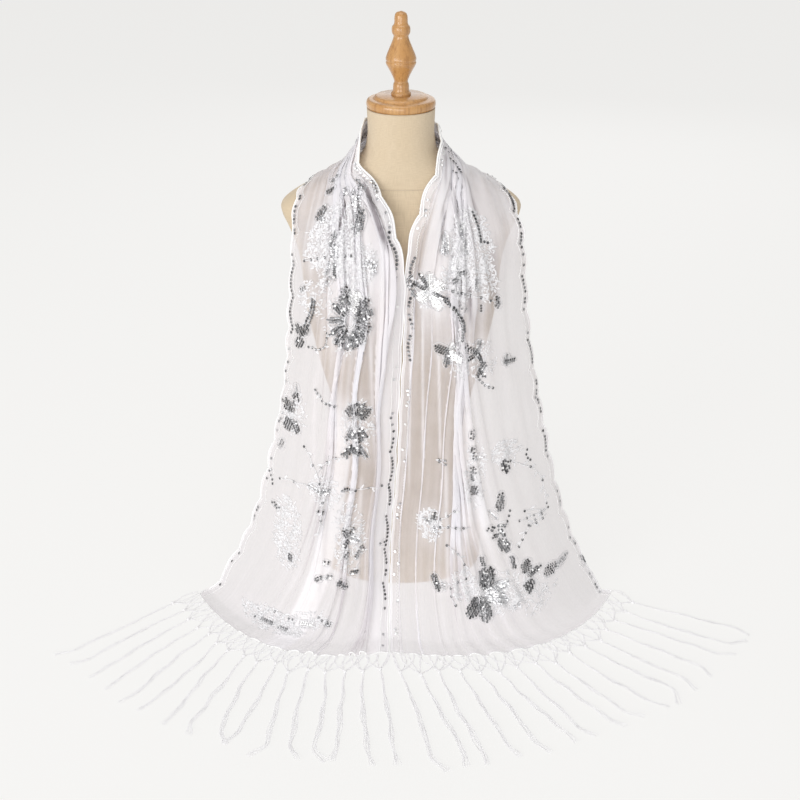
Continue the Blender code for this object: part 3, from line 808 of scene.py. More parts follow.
def wood_material():
    """Varnished pale hardwood, turned on a lathe: long grain up the piece and faint rings."""
    made, tree, shader, _ = new_material("turned_wood")
    where = node(tree, "ShaderNodeTexCoord").outputs["Object"]
    grain = noise(tree, scaled(tree, where, (260, 260, 9)), 1.0, 5, 0.6)
    broad = noise(tree, scaled(tree, where, (55, 55, 4)), 1.0, 3)
    rings = noise(tree, scaled(tree, where, (4, 4, 900)), 1.0, 2)
    tint = mixed_colour(tree, between(tree, broad, 0.3, 0.7), WOOD_LIGHT, WOOD_MIDDLE)
    tint = mixed_colour(tree, between(tree, grain, 0.48, 0.72, 0.0, 0.75), tint, WOOD_DARK)
    rough = between(tree, grain, 0.3, 0.7, 0.28, 0.42)
    normal = bumped(tree, math_node(tree, "ADD", grain, rings), 0.22, 0.0004)
    set_inputs(tree, shader, {"Base Color": tint, "Roughness": rough, "Normal": normal})
    set_inputs(tree, shader, {"Coat Weight": 0.55, "Coat Roughness": 0.12})
    return made


def net_material():
    """Sheer white net: part open, part thread, denser where the folds stand or it is trimmed."""
    made, tree, shader, output = new_material("sheer_net")
    where = node(tree, "ShaderNodeUVMap", uv_map="cloth").outputs[0]
    mesh = {"Vector": where, "Scale": 620.0, "Randomness": 0.35}
    cells = node(tree, "ShaderNodeTexVoronoi", mesh, feature="DISTANCE_TO_EDGE").outputs[0]
    threads = between(tree, cells, 0.10, 0.28, 1.14, 0.9)
    streaks = noise(tree, scaled(tree, where, (230, 9, 1)), 1.0, 2)
    cloud = noise(tree, where, 30.0, 3)
    weight = node(tree, "ShaderNodeAttribute", attribute_name="weight").outputs["Fac"]
    weight = math_node(tree, "MULTIPLY", weight, threads)
    weight = math_node(tree, "MULTIPLY", weight, between(tree, streaks, 0.3, 0.7, 0.94, 1.06))
    weight = math_node(tree, "MULTIPLY", weight, between(tree, cloud, 0.3, 0.7, 0.90, 1.10))
    open_share = math_node(tree, "POWER", 1 - NET_COVER, weight)
    cover = math_node(tree, "SUBTRACT", 1.0, open_share)
    tone = noise(tree, where, 7.0, 2)
    dense = mixed_colour(tree, between(tree, tone, 0.35, 0.65), NET_WARM, NET_COOL)
    # painted shade: thin net takes the darker tint, dense net the whiter one
    tint = mixed_colour(tree, between(tree, weight, 1.1, 3.4), NET_SHEER_PAINTED_SHADE, dense)
    # painted shadow: the net is tinted dark along the creases
    shade = node(tree, "ShaderNodeAttribute", attribute_name="shade").outputs["Fac"]
    tint = mixed_colour(tree, between(tree, shade, 0.0, 1.0), tint, NET_PAINTED_SHADOW)
    set_inputs(tree, shader, {"Base Color": tint, "Roughness": 0.55, "Sheen Weight": 0.25})
    through = node(tree, "ShaderNodeBsdfTranslucent", {"Color": tint}).outputs[0]
    cloth = node(tree, "ShaderNodeMixShader", {0: 0.28, 1: shader.outputs[0], 2: through})
    clear = node(tree, "ShaderNodeBsdfTransparent").outputs[0]
    seen = node(tree, "ShaderNodeMixShader", {0: cover, 1: clear, 2: cloth.outputs[0]})
    set_inputs(tree, output, {"Surface": seen.outputs[0]})
    return made


def thread_material(name, colour, twist, shade=0.93):
    """Silky thread, with darker lines between its fibres that have this share of its colour."""
    made, tree, shader, _ = new_material(name)
    where = node(tree, "ShaderNodeTexCoord").outputs["Object"]
    fibre = noise(tree, where, twist, 3, 0.6)
    dark = tuple(shade * value for value in colour[:3]) + (1.0,)
    tint = mixed_colour(tree, between(tree, fibre, 0.3, 0.7), dark, colour)
    normal = bumped(tree, fibre, 0.25, 0.0002)
    looks = {"Base Color": tint, "Roughness": 0.5, "Sheen Weight": 0.3, "Normal": normal}
    set_inputs(tree, shader, looks)
    return made


def sequin_material():
    """Silvered film. Each sequin's own tone, from dark silver to bright, is partly painted
    reflection.
    """
    made, tree, shader, _ = new_material("silver_sequin")
    tone = node(tree, "ShaderNodeAttribute", attribute_name="tone").outputs["Fac"]
    ramp = node(tree, "ShaderNodeValToRGB", {0: tone})
    stops = ramp.color_ramp.elements
    stops[0].color, stops[1].color = SEQUIN_TONES_WITH_PAINTED_REFLECTION[0.0], SEQUIN_TONES_WITH_PAINTED_REFLECTION[1.0]
    for place in (0.5, 0.75):
        stops.new(place).color = SEQUIN_TONES_WITH_PAINTED_REFLECTION[place]
    looks = {"Base Color": ramp.outputs[0], "Metallic": 0.9, "Roughness": 0.36}
    set_inputs(tree, shader, looks)
    return made


LINEN = linen_material()
WOOD = wood_material()
NET = net_material()
CORD = thread_material("corded_edge", (0.99, 0.985, 0.985, 1), 900.0)
SATIN = thread_material("satin_stitch", (0.94, 0.93, 0.95, 1), 420.0, 0.72)
FRINGE = thread_material("fringe_yarn", (0.975, 0.965, 0.98, 1), 1300.0)
SEAM = thread_material("seam_thread", (0.60, 0.50, 0.37, 1), 1200.0)
SEQUIN = sequin_material()

# ---------------------------------------------------------------------------------------------
# Dress form


COVER_RADIUS = 0.13  # of the form on average, for its cover's coordinates
SEAM_LIFT = 0.0002
SEAM_RADIUS = 0.00055


def form_cover():
    """The form's torso and neck, smooth, with its cover's own coordinates in metres."""
    rows, sides = 190, 144
    heights = np.linspace(FORM_LEVELS[0].height, FORM_LEVELS[-1].height, rows)
    turns = round_turns(sides)
    points = np.concatenate([form_point(turns, np.full(sides, height)) for height in heights])
    faces = [list(face)[::-1] for face in grid_faces(rows, sides, closed=True)]
    faces += [list(range(sides))[::-1], [(rows - 1) * sides + side for side in range(sides)]]
    obj = mesh_object("form_cover", points, faces, LINEN)
    made = obj.data.polygons
    corners = face_corners(obj.data)
    side = corners % sides
    last_column = [side[face.loop_start :][:4].max() == sides - 1 for face in made]
    last_column = np.repeat(last_column, [face.loop_total for face in made])
    side[last_column & (side == 0)] = sides
    wrapped = side / sides * 2 * math.pi * COVER_RADIUS
    add_uv(obj.data, "cover", np.stack([wrapped, points[corners, 2]], axis=1))
    made[-1].use_smooth = made[-2].use_smooth = False
    return obj


def seam_lines():
    """The cover's seams: round the base of the neck, down the sides, and two down each face."""
    turns = np.linspace(0, 2 * math.pi, 181)
    dip = 0.5 - 0.5 * np.sin(turns)
    yield form_point(turns, 0.700 - 0.038 * dip, SEAM_LIFT)
    heights = np.linspace(0.004, 0.618, 160)
    for turn in (0.0, math.pi):
        yield form_point(np.full(160, turn), heights, SEAM_LIFT)
    heights = np.linspace(0.004, 0.655, 160)
    for turn in (1.15, math.pi - 1.15, math.pi + 1.15, 2 * math.pi - 1.15):
        yield form_point(turn + 0.10 * np.sin(5 * heights), heights, SEAM_LIFT)


def form_seams():
    """A fine raised line for each seam of the cover."""
    pieces = [tube(line, SEAM_RADIUS, unit(line * (1, 1, 0))) for line in seam_lines()]
    return joined("form_seams", pieces, SEAM)


def rounded(profile, rounds=3):
    """The profile with its corners cut again and again, which rounds them, and its ends kept."""
    line = np.array(profile, float)
    for _ in range(rounds):
        near = line[:-1] * 0.75 + line[1:] * 0.25
        far = line[:-1] * 0.25 + line[1:] * 0.75
        line = np.concatenate([line[:1], np.stack([near, far], axis=1).reshape(-1, 2), line[-1:]])
    return line


def turned(name, profile, base):
    """A turned piece from its rounded profile, closed on its axis."""
    sides = 96
    rings = rounded(profile)
    points = [
        (radius * math.cos(turn), radius * math.sin(turn), base + height)
        for radius, height in rings
        for turn in round_turns(sides)
    ]
    faces = [list(face)[::-1] for face in grid_faces(len(rings), sides, closed=True)]
    bottom, top = len(points), len(points) + 1
    points += [(0, 0, base + rings[0][1]), (0, 0, base + (rings[-1][1] + 0.00001))]
    last = (len(rings) - 1) * sides
    for side in range(sides):
        after = (side + 1) % sides
        faces += [[bottom, after, side], [top, last + side, last + after]]
    return mesh_object(name, points, faces, WOOD)


# ---------------------------------------------------------------------------------------------
# Stole


# Strips along the cloth where its layers lie close and show whiter: from and to, across the cloth
# and up from the hem, and the thread weight that they add
Strip = namedtuple("Strip", "side start end low high weight")
STRIPS = on_sides(
    Strip,
    left=(
        (-0.02, 0.045, 0.52, 1.15, 2.0),
        (-0.02, 0.040, -0.2, 0.66, 3.0),
        (0.078, 0.125, 0.10, 0.62, 2.5),
        (0.250, 0.305, -0.05, 0.46, 1.8),
    ),
    right=(
        (0.225, 0.325, 0.15, 0.60, 2.0),
        (0.150, 0.175, 0.15, 0.60, 2.0),
    ),
)


def banded(value, low, high, soft):
    """1 between low and high and 0 outside them, with a smooth rise inside each end."""
    return eased(value, low, low + soft) * (1 - eased(value, high - soft, high))


def thread_weight():
    """How much thread the net shows at each point, where 1 is one flat layer."""
    far_edge = CLOTH_WIDTH - ACROSS - scallop(ALONG, "outer")
    edge = np.minimum(ACROSS - scallop(ALONG, "inner"), far_edge)
    hem = np.minimum(ALONG, CLOTH_LENGTH - ALONG)
    slant = np.maximum(np.cos(np.minimum(STEEP, 1.1)), 0.62)
    weight = (1 + 1.8 * eased(DEPTH, 0.9, 1.15)) / slant
    weight += 1.3 * (1 - eased(edge, 0.002, 0.0055)) + 0.6 * (1 - eased(edge, 0.011, TRIM_WIDTH))
    weight += 1.0 * (1 - eased(hem, 0.003, 0.008))
    weight += 0.9 * backing() + sprayed()
    weight += np.maximum(PAINTED_CREASE_SHADE, 0) + 1.8 * np.maximum(-PAINTED_CREASE_SHADE, 0)
    past_crest = below_crest(ALONG)
    gathered = eased(ACROSS, 0.035, 0.05) * (1 - eased(ACROSS, 0.33, 0.39))
    sheer_shoulder = eased(ACROSS, 0.34, 0.41) * (ALONG < CLOTH_LENGTH / 2)
    weight *= 1 + (2.2 - 1.6 * sheer_shoulder) * (1 - eased(past_crest, 0.02, 0.20))
    weight += 3.4 * gathered * (1 - eased(past_crest, 0.16, 0.34))
    for strip in STRIPS:
        near = strip.weight * banded(ACROSS, strip.start, strip.end, 0.01)
        weight += near * banded(from_hem(strip.side, ALONG), strip.low, strip.high, 0.1)
    return weight


def stole_net():
    """The sheer cloth, with its thread weight at each point."""
    obj = mesh_object("stole_net", CLOTH.reshape(-1, 3), grid_faces(*ACROSS.shape), NET)
    places = np.stack([ACROSS.ravel(), ALONG.ravel()], axis=1)
    add_uv(obj.data, "cloth", places[face_corners(obj.data)])
    # painted crease shadow for each point
    add_values(obj.data, "shade", np.clip(PAINTED_CREASE_SHADE, 0, 1))
    add_values(obj.data, "weight", thread_weight())
    outward = same_way(BROAD_FACING, CLOTH_FACING)
    soft = unit(CLOTH_FACING * 0.4 + outward * 0.6)  # threads catch light from all round them
    obj.data.normals_split_custom_set_from_vertices(soft.reshape(-1, 3))
    return obj


def backing():
    """Where petals are worked, which makes the net milky there: 0 to 1 at each point."""
    worked = np.zeros(ACROSS.shape)
    rows, columns = worked.shape
    for _, shape, finder in all_petals():
        for line in petal_lines(*shape, 0.003, 0.003):
            across, along = finder(line)
            for place, at in zip(across, nearest_row(along)):
                worked[at, np.abs(ACROSS[at] - place).argmin()] = 1
    for _ in range(3):
        wider = np.pad(worked, 1, mode="edge")
        spots = [wider[row : row + rows, column : column + columns]
                 for row in range(3) for column in range(3)]
        worked = sum(spots) / 9
    return np.minimum(worked * 1.6, 1)


def sprayed():
    """Extra thread weight of the net where white sprays are worked over it."""
    weight = np.zeros(ACROSS.shape)
    for spray in SPRAYS:
        sideways = (CLOTH[..., 0] - spray.x) / spray.wide
        upwards = (from_hem(spray.side, ALONG) - spray.up) / spray.tall
        near = np.exp(-0.8 * (sideways**2 + upwards**2))
        weight = np.maximum(weight, spray.weight * near)
    return weight


def edge_line(side, inset, count=1400, lobes=None):
    """A line along one long edge of the cloth, this far in from its scallops.

    With lobes it follows the scallops of that edge in place of its own.
    """
    along = np.linspace(HEM_INSET, CLOTH_LENGTH - HEM_INSET, count)
    across = scallop(along, lobes or side) + inset
    if side == "outer":
        across = CLOTH_WIDTH - across
    return across, along


def edge_cords():
    """The corded scallops of both long edges, two finer cords inside each, and the hem cords."""
    pieces = []

    def lay(across, along, radius, lift, sides):
        line, facing = on_cloth(across, along, lift)
        pieces.append(tube(line, radius, facing, sides))

    for side in ("inner", "outer"):
        across, along = edge_line(side, 0.0)
        thick = 1 - 0.45 * eased(below_crest(along), 0.15, 0.22) if side == "inner" else 0.6
        lay(across, along, EDGE_CORD * thick, 0.0002, 5)
        lay(*edge_line(side, FINE_CORD_INSET), FINE_CORD * thick**2 + 0.0001, 0.0002, 4)
        across, along = edge_line(side, TRIM_WIDTH)
        across = across + 0.0008 * np.sin(2 * math.pi * along / 0.0045)
        lay(across, along, TRIM_CORD, 0.0003, 4)
    across = np.linspace(0.001, CLOTH_WIDTH - 0.001, 500)
    for along in (HEM_INSET, CLOTH_LENGTH - HEM_INSET):
        lay(across, np.full(500, along), FINE_CORD, 0.0004, 5)
    return joined("edge_cords", pieces, CORD)


# Flowers that show in front: place of the centre by its x and its distance up from the hem, the
# petals' middles sideways and up from it, and their length and breadth. A petal is its clock hour
# round the centre, its film (dark, silver, light or white) and an n where it is narrow. The film's
# tone is partly painted reflection: dark films stand in for dark surroundings, white for glints
Bloom = namedtuple("Bloom", "side x up wide tall long broad petals")
FILM_TONES_WITH_PAINTED_REFLECTION = {"d": 0.17, "s": 0.36, "l": 0.64, "w": 1.0}
NARROW = 0.6  # breadth of a narrow petal, as a share of a full one's
BLOOMS = on_sides(
    Bloom,
    left=(
        (-0.074, 0.547, 0.020, 0.031, 0.025, 0.017,
         "11.4s 12.2w 12.9w 1.9s 2.8s 3.8s 4.7s 5.5d 6.5s 7.4d 8.4dn 9.3sn 10.3dn"),
        (-0.147, 0.527, 0.008, 0.012, 0.018, 0.012, "11d 1s 7d"),
        (-0.169, 0.382, 0.010, 0.018, 0.022, 0.015, "11d 12.7sn 7d 4.8s"),
        (-0.158, 0.426, 0.003, 0.008, 0.013, 0.008, "8d 12ln 5dn"),
        (-0.066, 0.385, 0.014, 0.024, 0.018, 0.014, "10.7s 11.8s 1s 2d 4.6dn 5.6d 7.4s"),
        (-0.073, 0.344, 0.006, 0.006, 0.022, 0.012, "8d 4.5dn"),
        (-0.126, 0.272, 0.007, 0.006, 0.018, 0.011, "2.5l 10ln"),
        (-0.080, 0.198, 0.010, 0.010, 0.013, 0.010, "11d 4l 7dn 1sn"),
    ),
    right=(
        (0.042, 0.574, 0.014, 0.014, 0.022, 0.013, "10.8dn 9.3dn 12w 7.5w 1.5w 3.4dn 5w"),
        (0.070, 0.492, 0.010, 0.012, 0.020, 0.015, "9.3d 3.8w 1.3wn 6.4sn"),
        (0.111, 0.498, 0.009, 0.010, 0.018, 0.011, "9.6d 12.8l 7.6dn 5dn"),
        (0.118, 0.470, 0.005, 0.006, 0.014, 0.010, "1s 7dn 5dn"),
        (0.157, 0.482, 0.005, 0.002, 0.017, 0.010, "12l 3dn"),
        (0.196, 0.119, 0.013, 0.017, 0.020, 0.017, "12d 2.5dn 5.2d"),
        (0.128, 0.106, 0.022, 0.024, 0.036, 0.021, "12.6d 7.2d 5.8s 2.4l 12sn 3.6l"),
        (0.246, 0.110, 0.010, 0.008, 0.020, 0.017, "9.5d 2.5ln"),
        (0.049, 0.212, 0.008, 0.012, 0.012, 0.010, "12.6s 9.5l 5l"),
    ),
)
# Petals by themselves or in a row, in millimetres: x, distance up from the hem, length, breadth,
# the clock hour that the petal points to, and its film
Petal = namedtuple("Petal", "side x up long broad hour film")
LONE_PETALS = on_sides(
    Petal,
    left=(
        (-114, 715, 19, 14, 1, "s"), (-112, 702, 8, 6, 12, "l"), (-97, 767, 10, 8, 2, "l"),
        (-102, 746, 12, 6, 2, "s"), (-81, 729, 10, 9, 12, "l"), (-58, 730, 19, 5, 11, "s"),
        (-63, 719, 14, 13, 12, "l"), (-63, 703, 16, 14, 12, "l"), (-60, 682, 28, 17, 12.5, "s"),
        (-97, 669, 19, 10, 12.5, "s"), (-95, 651, 19, 11, 12, "l"), (-104, 630, 21, 6, 12.5, "l"),
        (-95, 625, 22, 6, 12, "s"), (-104, 612, 13, 6, 1, "l"), (-45, 622, 18, 9, 4, "l"),
        (-40, 613, 13, 6, 5.5, "l"), (-143, 605, 9, 6, 2, "s"), (-81, 589, 18, 14, 12.5, "s"),
        (-58, 337, 28, 6, 5, "s"), (-186, 325, 17, 6, 1, "l"), (-82, 277, 9, 7, 3, "d"),
        (-197, 222, 10, 7, 10, "d"), (-124, 239, 7, 6, 3, "d"), (-61, 178, 14, 6, 11, "s"),
        (-67, 168, 12, 6, 1, "s"), (-84, 170, 9, 6, 1, "s"), (-174, 153, 11, 6, 12, "d"),
        (-116, 158, 7, 6, 3, "d"), (-128, 132, 8, 7, 2, "d"), (-111, 136, 7, 6, 3, "d"),
        (-91, 124, 16, 10, 4, "d"), (-73, 141, 11, 7, 3, "d"), (-29, 175, 6, 5, 3, "d"),
        (-212, 46, 20, 7, 3, "l"), (-184, 44, 16, 7, 3, "l"), (-145, 60, 18, 7, 3, "w"),
        (-170, 62, 6, 5, 3, "d"), (-114, 62, 8, 6, 3, "s"),
    ),
    right=(
        (63, 648, 29, 11, 12, "l"), (60, 639, 9, 6, 1, "l"), (89, 665, 30, 9, 11.5, "l"),
        (91, 648, 13, 10, 12, "l"), (74, 622, 24, 5, 12, "l"), (88, 614, 13, 6, 2, "s"),
        (78, 601, 11, 6, 1.5, "s"), (109, 601, 16, 6, 12, "l"), (79, 584, 6, 5, 3, "s"),
        (90, 584, 6, 5, 3, "s"), (141, 582, 9, 6, 12, "d"), (142, 574, 8, 6, 1, "s"),
        (116, 567, 8, 5, 12, "d"), (89, 563, 10, 8, 10, "l"), (107, 366, 13, 6, 12, "s"),
        (108, 341, 8, 6, 12, "d"), (111, 331, 10, 8, 12, "s"), (119, 328, 8, 5, 3, "l"),
        (110, 307, 10, 9, 12, "s"), (109, 294, 9, 6, 12, "s"), (112, 273, 14, 12, 12.5, "s"),
        (160, 307, 22, 12, 5.5, "d"), (153, 247, 21, 12, 12.5, "s"), (153, 261, 7, 6, 3, "d"),
        (142, 230, 16, 5, 4.5, "l"), (158, 213, 11, 5, 3, "s"), (137, 209, 7, 6, 3, "d"),
        (146, 196, 8, 7, 3, "d"), (160, 179, 25, 16, 5, "s"), (157, 200, 15, 6, 5, "s"),
        (175, 149, 21, 8, 5.5, "s"), (126, 158, 14, 8, 11.5, "s"), (182, 81, 10, 6, 2, "l"),
        (55, 119, 25, 11, 5.3, "d"), (66, 115, 10, 6, 12, "l"), (300, 82, 12, 7, 4.5, "s"),
    ),
)
# Flowers that pass behind the neck: place across and along the cloth, reach, and a film for each
# petal, where a - leaves one out
BACK_FLOWERS = (
    (0.24, 0.880, 0.046, "dsl-sl"),
    (0.37, 0.915, 0.048, "sdldws"),
    (0.22, 0.945, 0.046, "dswds-"),
    (0.38, 0.975, 0.046, "sldlds"),
    (0.25, 1.000, 0.044, "s-dsdl"),
)
# Lines of loose sequins in front: both ends by x and up, how far the line bows to its left as a
# share of its length, the sequins' spacing, and whether it follows a white stem
Trail = namedtuple("Trail", "side x up end_x end_up bow step stem")
TRAILS = on_sides(
    Trail,
    left=(
        (-0.126, 0.584, -0.139, 0.541, 0.06, 0.0044, False),
        (-0.130, 0.588, -0.143, 0.545, 0.06, 0.0044, False),
        (-0.137, 0.510, -0.108, 0.533, -0.40, 0.0060, True),
        (-0.140, 0.648, -0.062, 0.638, 0.04, 0.0100, True),
        (-0.042, 0.724, -0.034, 0.704, 0.10, 0.0045, False),
        (-0.128, 0.440, -0.096, 0.414, -0.15, 0.0065, True),
        (-0.208, 0.268, -0.203, 0.250, 0.10, 0.0060, False),
        (-0.190, 0.268, -0.140, 0.276, 0.05, 0.0260, True),
        (-0.090, 0.276, -0.030, 0.272, 0.02, 0.0200, True),
        (-0.133, 0.130, -0.110, 0.138, 0.10, 0.0110, True),
        (-0.232, 0.044, -0.168, 0.064, 0.15, 0.0400, True),
        (-0.128, 0.072, -0.104, 0.064, -0.10, 0.0070, True),
        (-0.082, 0.330, -0.128, 0.300, -0.20, 0.0160, True),
        (-0.148, 0.340, -0.130, 0.200, 0.12, 0.0300, True),
    ),
    right=(
        (0.064, 0.566, 0.089, 0.512, 0.18, 0.0044, True),
        (0.068, 0.566, 0.092, 0.516, 0.18, 0.0044, False),
        (0.020, 0.560, 0.018, 0.590, 0.30, 0.0045, True),
        (0.060, 0.584, 0.142, 0.578, 0.03, 0.0140, True),
        (0.102, 0.702, 0.114, 0.664, 0.05, 0.0046, False),
        (0.114, 0.664, 0.127, 0.664, 0.10, 0.0050, False),
        (0.064, 0.786, 0.088, 0.756, 0.08, 0.0050, False),
        (0.076, 0.756, 0.084, 0.742, 0.05, 0.0060, False),
        (0.115, 0.453, 0.138, 0.440, -0.10, 0.0062, True),
        (0.194, 0.322, 0.204, 0.300, -0.20, 0.0075, False),
        (0.167, 0.313, 0.229, 0.216, 0.16, 0.0400, True),
        (0.192, 0.224, 0.228, 0.210, 0.05, 0.0400, True),
        (0.200, 0.199, 0.230, 0.202, -0.10, 0.0120, True),
        (0.232, 0.210, 0.184, 0.212, 0.00, 0.0120, True),
        (0.232, 0.210, 0.182, 0.166, -0.16, 0.0110, True),
        (0.061, 0.220, 0.088, 0.250, -0.08, 0.0140, True),
        (0.061, 0.207, 0.108, 0.211, 0.05, 0.0120, True),
        (0.071, 0.180, 0.100, 0.142, 0.15, 0.0200, True),
        (0.140, 0.206, 0.160, 0.212, 0.10, 0.0060, False),
        (0.168, 0.232, 0.158, 0.208, 0.10, 0.0080, False),
        (0.068, 0.312, 0.069, 0.318, 2.50, 0.0100, True),
        (0.100, 0.130, 0.086, 0.086, -0.35, 0.0140, True),
    ),
)

# White thread sprays: middle and reach of the patch, its small leaves, and the thread weight
# that they add to the net
Spray = namedtuple("Spray", "side x up wide tall leaves weight")
SPRAYS = on_sides(
    Spray,
    left=(
        (-0.098, 0.668, 0.040, 0.050, 660, 1.54),
        (-0.062, 0.622, 0.026, 0.034, 300, 1.40),
        (-0.125, 0.590, 0.026, 0.030, 156, 0.84),
        (-0.076, 0.548, 0.036, 0.050, 204, 0.98),
        (-0.066, 0.375, 0.026, 0.046, 180, 0.70),
        (-0.165, 0.390, 0.022, 0.040, 96, 0.56),
        (-0.116, 0.272, 0.024, 0.026, 168, 0.84),
        (-0.080, 0.200, 0.024, 0.060, 276, 1.12),
        (-0.178, 0.190, 0.022, 0.056, 360, 0.70),
        (-0.204, 0.048, 0.052, 0.018, 300, 0.70),
        (-0.138, 0.066, 0.026, 0.014, 96, 0.56),
    ),
    right=(
        (0.102, 0.652, 0.032, 0.056, 600, 1.54),
        (0.082, 0.600, 0.024, 0.030, 264, 1.26),
        (0.122, 0.608, 0.020, 0.030, 180, 0.98),
        (0.042, 0.572, 0.022, 0.026, 120, 0.70),
        (0.104, 0.486, 0.040, 0.034, 156, 0.70),
        (0.112, 0.300, 0.018, 0.060, 156, 0.70),
        (0.160, 0.330, 0.022, 0.020, 132, 0.42),
        (0.045, 0.208, 0.018, 0.026, 204, 0.98),
        (0.098, 0.118, 0.022, 0.026, 180, 0.70),
        (0.150, 0.106, 0.040, 0.034, 240, 0.56),
        (0.206, 0.090, 0.040, 0.026, 132, 0.42),
    ),
)

# Sequins along the long edges, in stretches: heights above the hem, the share of the stretch
# that still has them, and their tone
Trim = namedtuple("Trim", "side edge low high share tone")
TRIMS = rows_of(
    Trim,
    ("left", "inner", 0.01, 0.07, 0.30, 0.60),
    ("left", "inner", 0.07, 0.36, 0.90, 0.22),
    ("left", "inner", 0.36, 0.45, 0.35, 0.60),
    ("left", "inner", 0.45, 0.59, 0.10, 0.90),
    ("left", "inner", 0.59, 0.66, 0.95, 0.24),
    ("left", "inner", 0.66, 0.76, 0.70, 0.85),
    ("left", "outer", 0.02, 0.53, 0.30, 0.60),
    ("left", "outer", 0.53, 0.64, 0.95, 0.28),
    ("left", "outer", 0.64, 0.79, 0.50, 0.40),
    ("right", "inner", 0.02, 0.46, 0.25, 0.90),
    ("right", "inner", 0.46, 0.62, 0.90, 0.22),
    ("right", "inner", 0.62, 0.78, 0.40, 0.90),
    ("right", "outer", 0.02, 0.30, 0.35, 0.60),
    ("right", "outer", 0.30, 0.70, 0.50, 0.36),
    ("right", "outer", 0.70, 0.79, 0.95, 0.30),
    ("left", "outer", 0.79, 1.10, 0.80, 0.40),
    ("left", "inner", 0.80, 1.08, 0.60, 0.70),
)
TRIM_INSET = 0.0094

SEQUIN_SIZE = 0.0036
TRAIL_SEQUIN_SIZE = 0.0044
TRIM_SEQUIN_SIZE = 0.0047
SEQUIN_STEP = 0.0026  # along a petal's rows, so that each overlaps the next
TRIM_STEP = 0.0060
ROW_SPACING = 0.0034
SEQUIN_LEAN = 0.26  # how far each sequin tips over the one below it
SEQUIN_LIFT = 0.0012
SPRIGS = 18  # three small leaves each, behind the neck
LEAF_WIDTH = 0.0034  # of the leaves on sprigs and stems
RING_THREAD = 0.0010
STEM_THREAD = 0.0008
RIM_THREAD = 0.00055  # round each petal
STITCH_MARGIN = 0.004  # kept free of stitches along every edge


def pointing(heading):
    """A step of length 1 on this heading."""
    return np.array([math.cos(heading), math.sin(heading)])


def quarter_turn(way):
    """The same step turned a quarter to the left."""
    return np.array([-way[1], way[0]])


def petal_lines(centre, long, broad, heading, spacing, step):
    """Lines of places side by side along one petal, shorter towards its sides and staggered."""
    ahead = pointing(heading)
    aside = quarter_turn(ahead)
    count = max(1, round(broad / spacing))
    for row in range(count):
        away = (row - (count - 1) / 2) * spacing
        half = long / 2 * max(1 - (2 * away / (broad + 0.3 * spacing)) ** 2, 0.03) ** 0.7
        steps = max(2, round(2 * half / step))
        reach = np.linspace(-half, half, steps) + (0.25 if row % 2 else -0.25) * step
        yield np.array(centre) + reach[:, None] * ahead + away * aside


def front_line(side, line):
    """A line of x and up places in front, as cloth coordinates."""
    return in_front(side, line[:, 0], line[:, 1])


def back_line(line):
    """A line of places that is in cloth coordinates already."""
    return line[:, 0], line[:, 1]


def trail_line(trail):
    """A trail's bowed line, as fine steps of x and up."""
    start, end = np.array([trail.x, trail.up]), np.array([trail.end_x, trail.end_up])
    ahead = end - start
    aside = quarter_turn(ahead) * trail.bow
    count = max(8, int(np.linalg.norm(ahead) * (1 + abs(trail.bow)) / 0.0016))
    shares = np.linspace(0, 1, count)[:, None]
    return start + ahead * shares + aside * np.sin(math.pi * shares)


def clock(hour):
    """The heading of a clock's hour."""
    return math.radians(90 - 30 * hour)


def flower_petals():
    """Film, place, sizes and heading of each petal in front, and the side that it is on."""
    for bloom in BLOOMS:
        for petal in bloom.petals.split():
            hour = petal.rstrip("dslwn")
            film = petal[len(hour)]
            broad = bloom.broad * (NARROW if petal.endswith("n") else 1)
            out = pointing(clock(float(hour))) * (bloom.wide, bloom.tall)
            heading = math.atan2(out[1], out[0])
            yield film, ((bloom.x, bloom.up) + out, bloom.long, broad, heading), bloom.side
    for petal in LONE_PETALS:
        x, up, long, broad = (0.001 * measure for measure in petal[1:5])
        yield petal.film, ((x, up), long, broad, clock(petal.hour)), petal.side


def all_petals():
    """Each petal with what finds its place on the cloth: its film, its shape and the finder."""
    for film, shape, side in flower_petals():
        yield film, shape, partial(front_line, side)
    for across, along, reach, petals in BACK_FLOWERS:
        for index, film in enumerate(petals):
            if film == "-":
                continue
            heading = 300 * across + 2 * math.pi * index / len(petals)
            out = 0.6 * reach * pointing(heading)
            yield film, ((across, along) + out, 0.65 * reach, 0.36 * reach, heading), back_line


def spaced(line, step):
    """The line's places at even steps along it."""
    reach = run_along(line)
    return at_distances(np.arange(0, reach[-1] + 1e-9, step), reach, line)


def sequin_row(across, along, tones, size, chance, lean=SEQUIN_LEAN):
    """Places, facings, sizes and tones of a row of sequins, each tipped over the one before."""
    inside = within_edges(across, along, 0.002, 0.003)
    across, along, tones = across[inside], along[inside], tones[inside]
    if len(across) < 1:
        return np.empty((0, 8))
    places, facing = on_cloth(across, along, SEQUIN_LIFT, 0.65)
    ahead = unit(np.gradient(places, axis=0)) if len(places) > 1 else 0 * places
    facing = unit(facing - lean * ahead + chance.normal(0, 0.07, facing.shape))
    sizes = np.full(len(places), size)
    return np.column_stack([places, facing, sizes, tones])


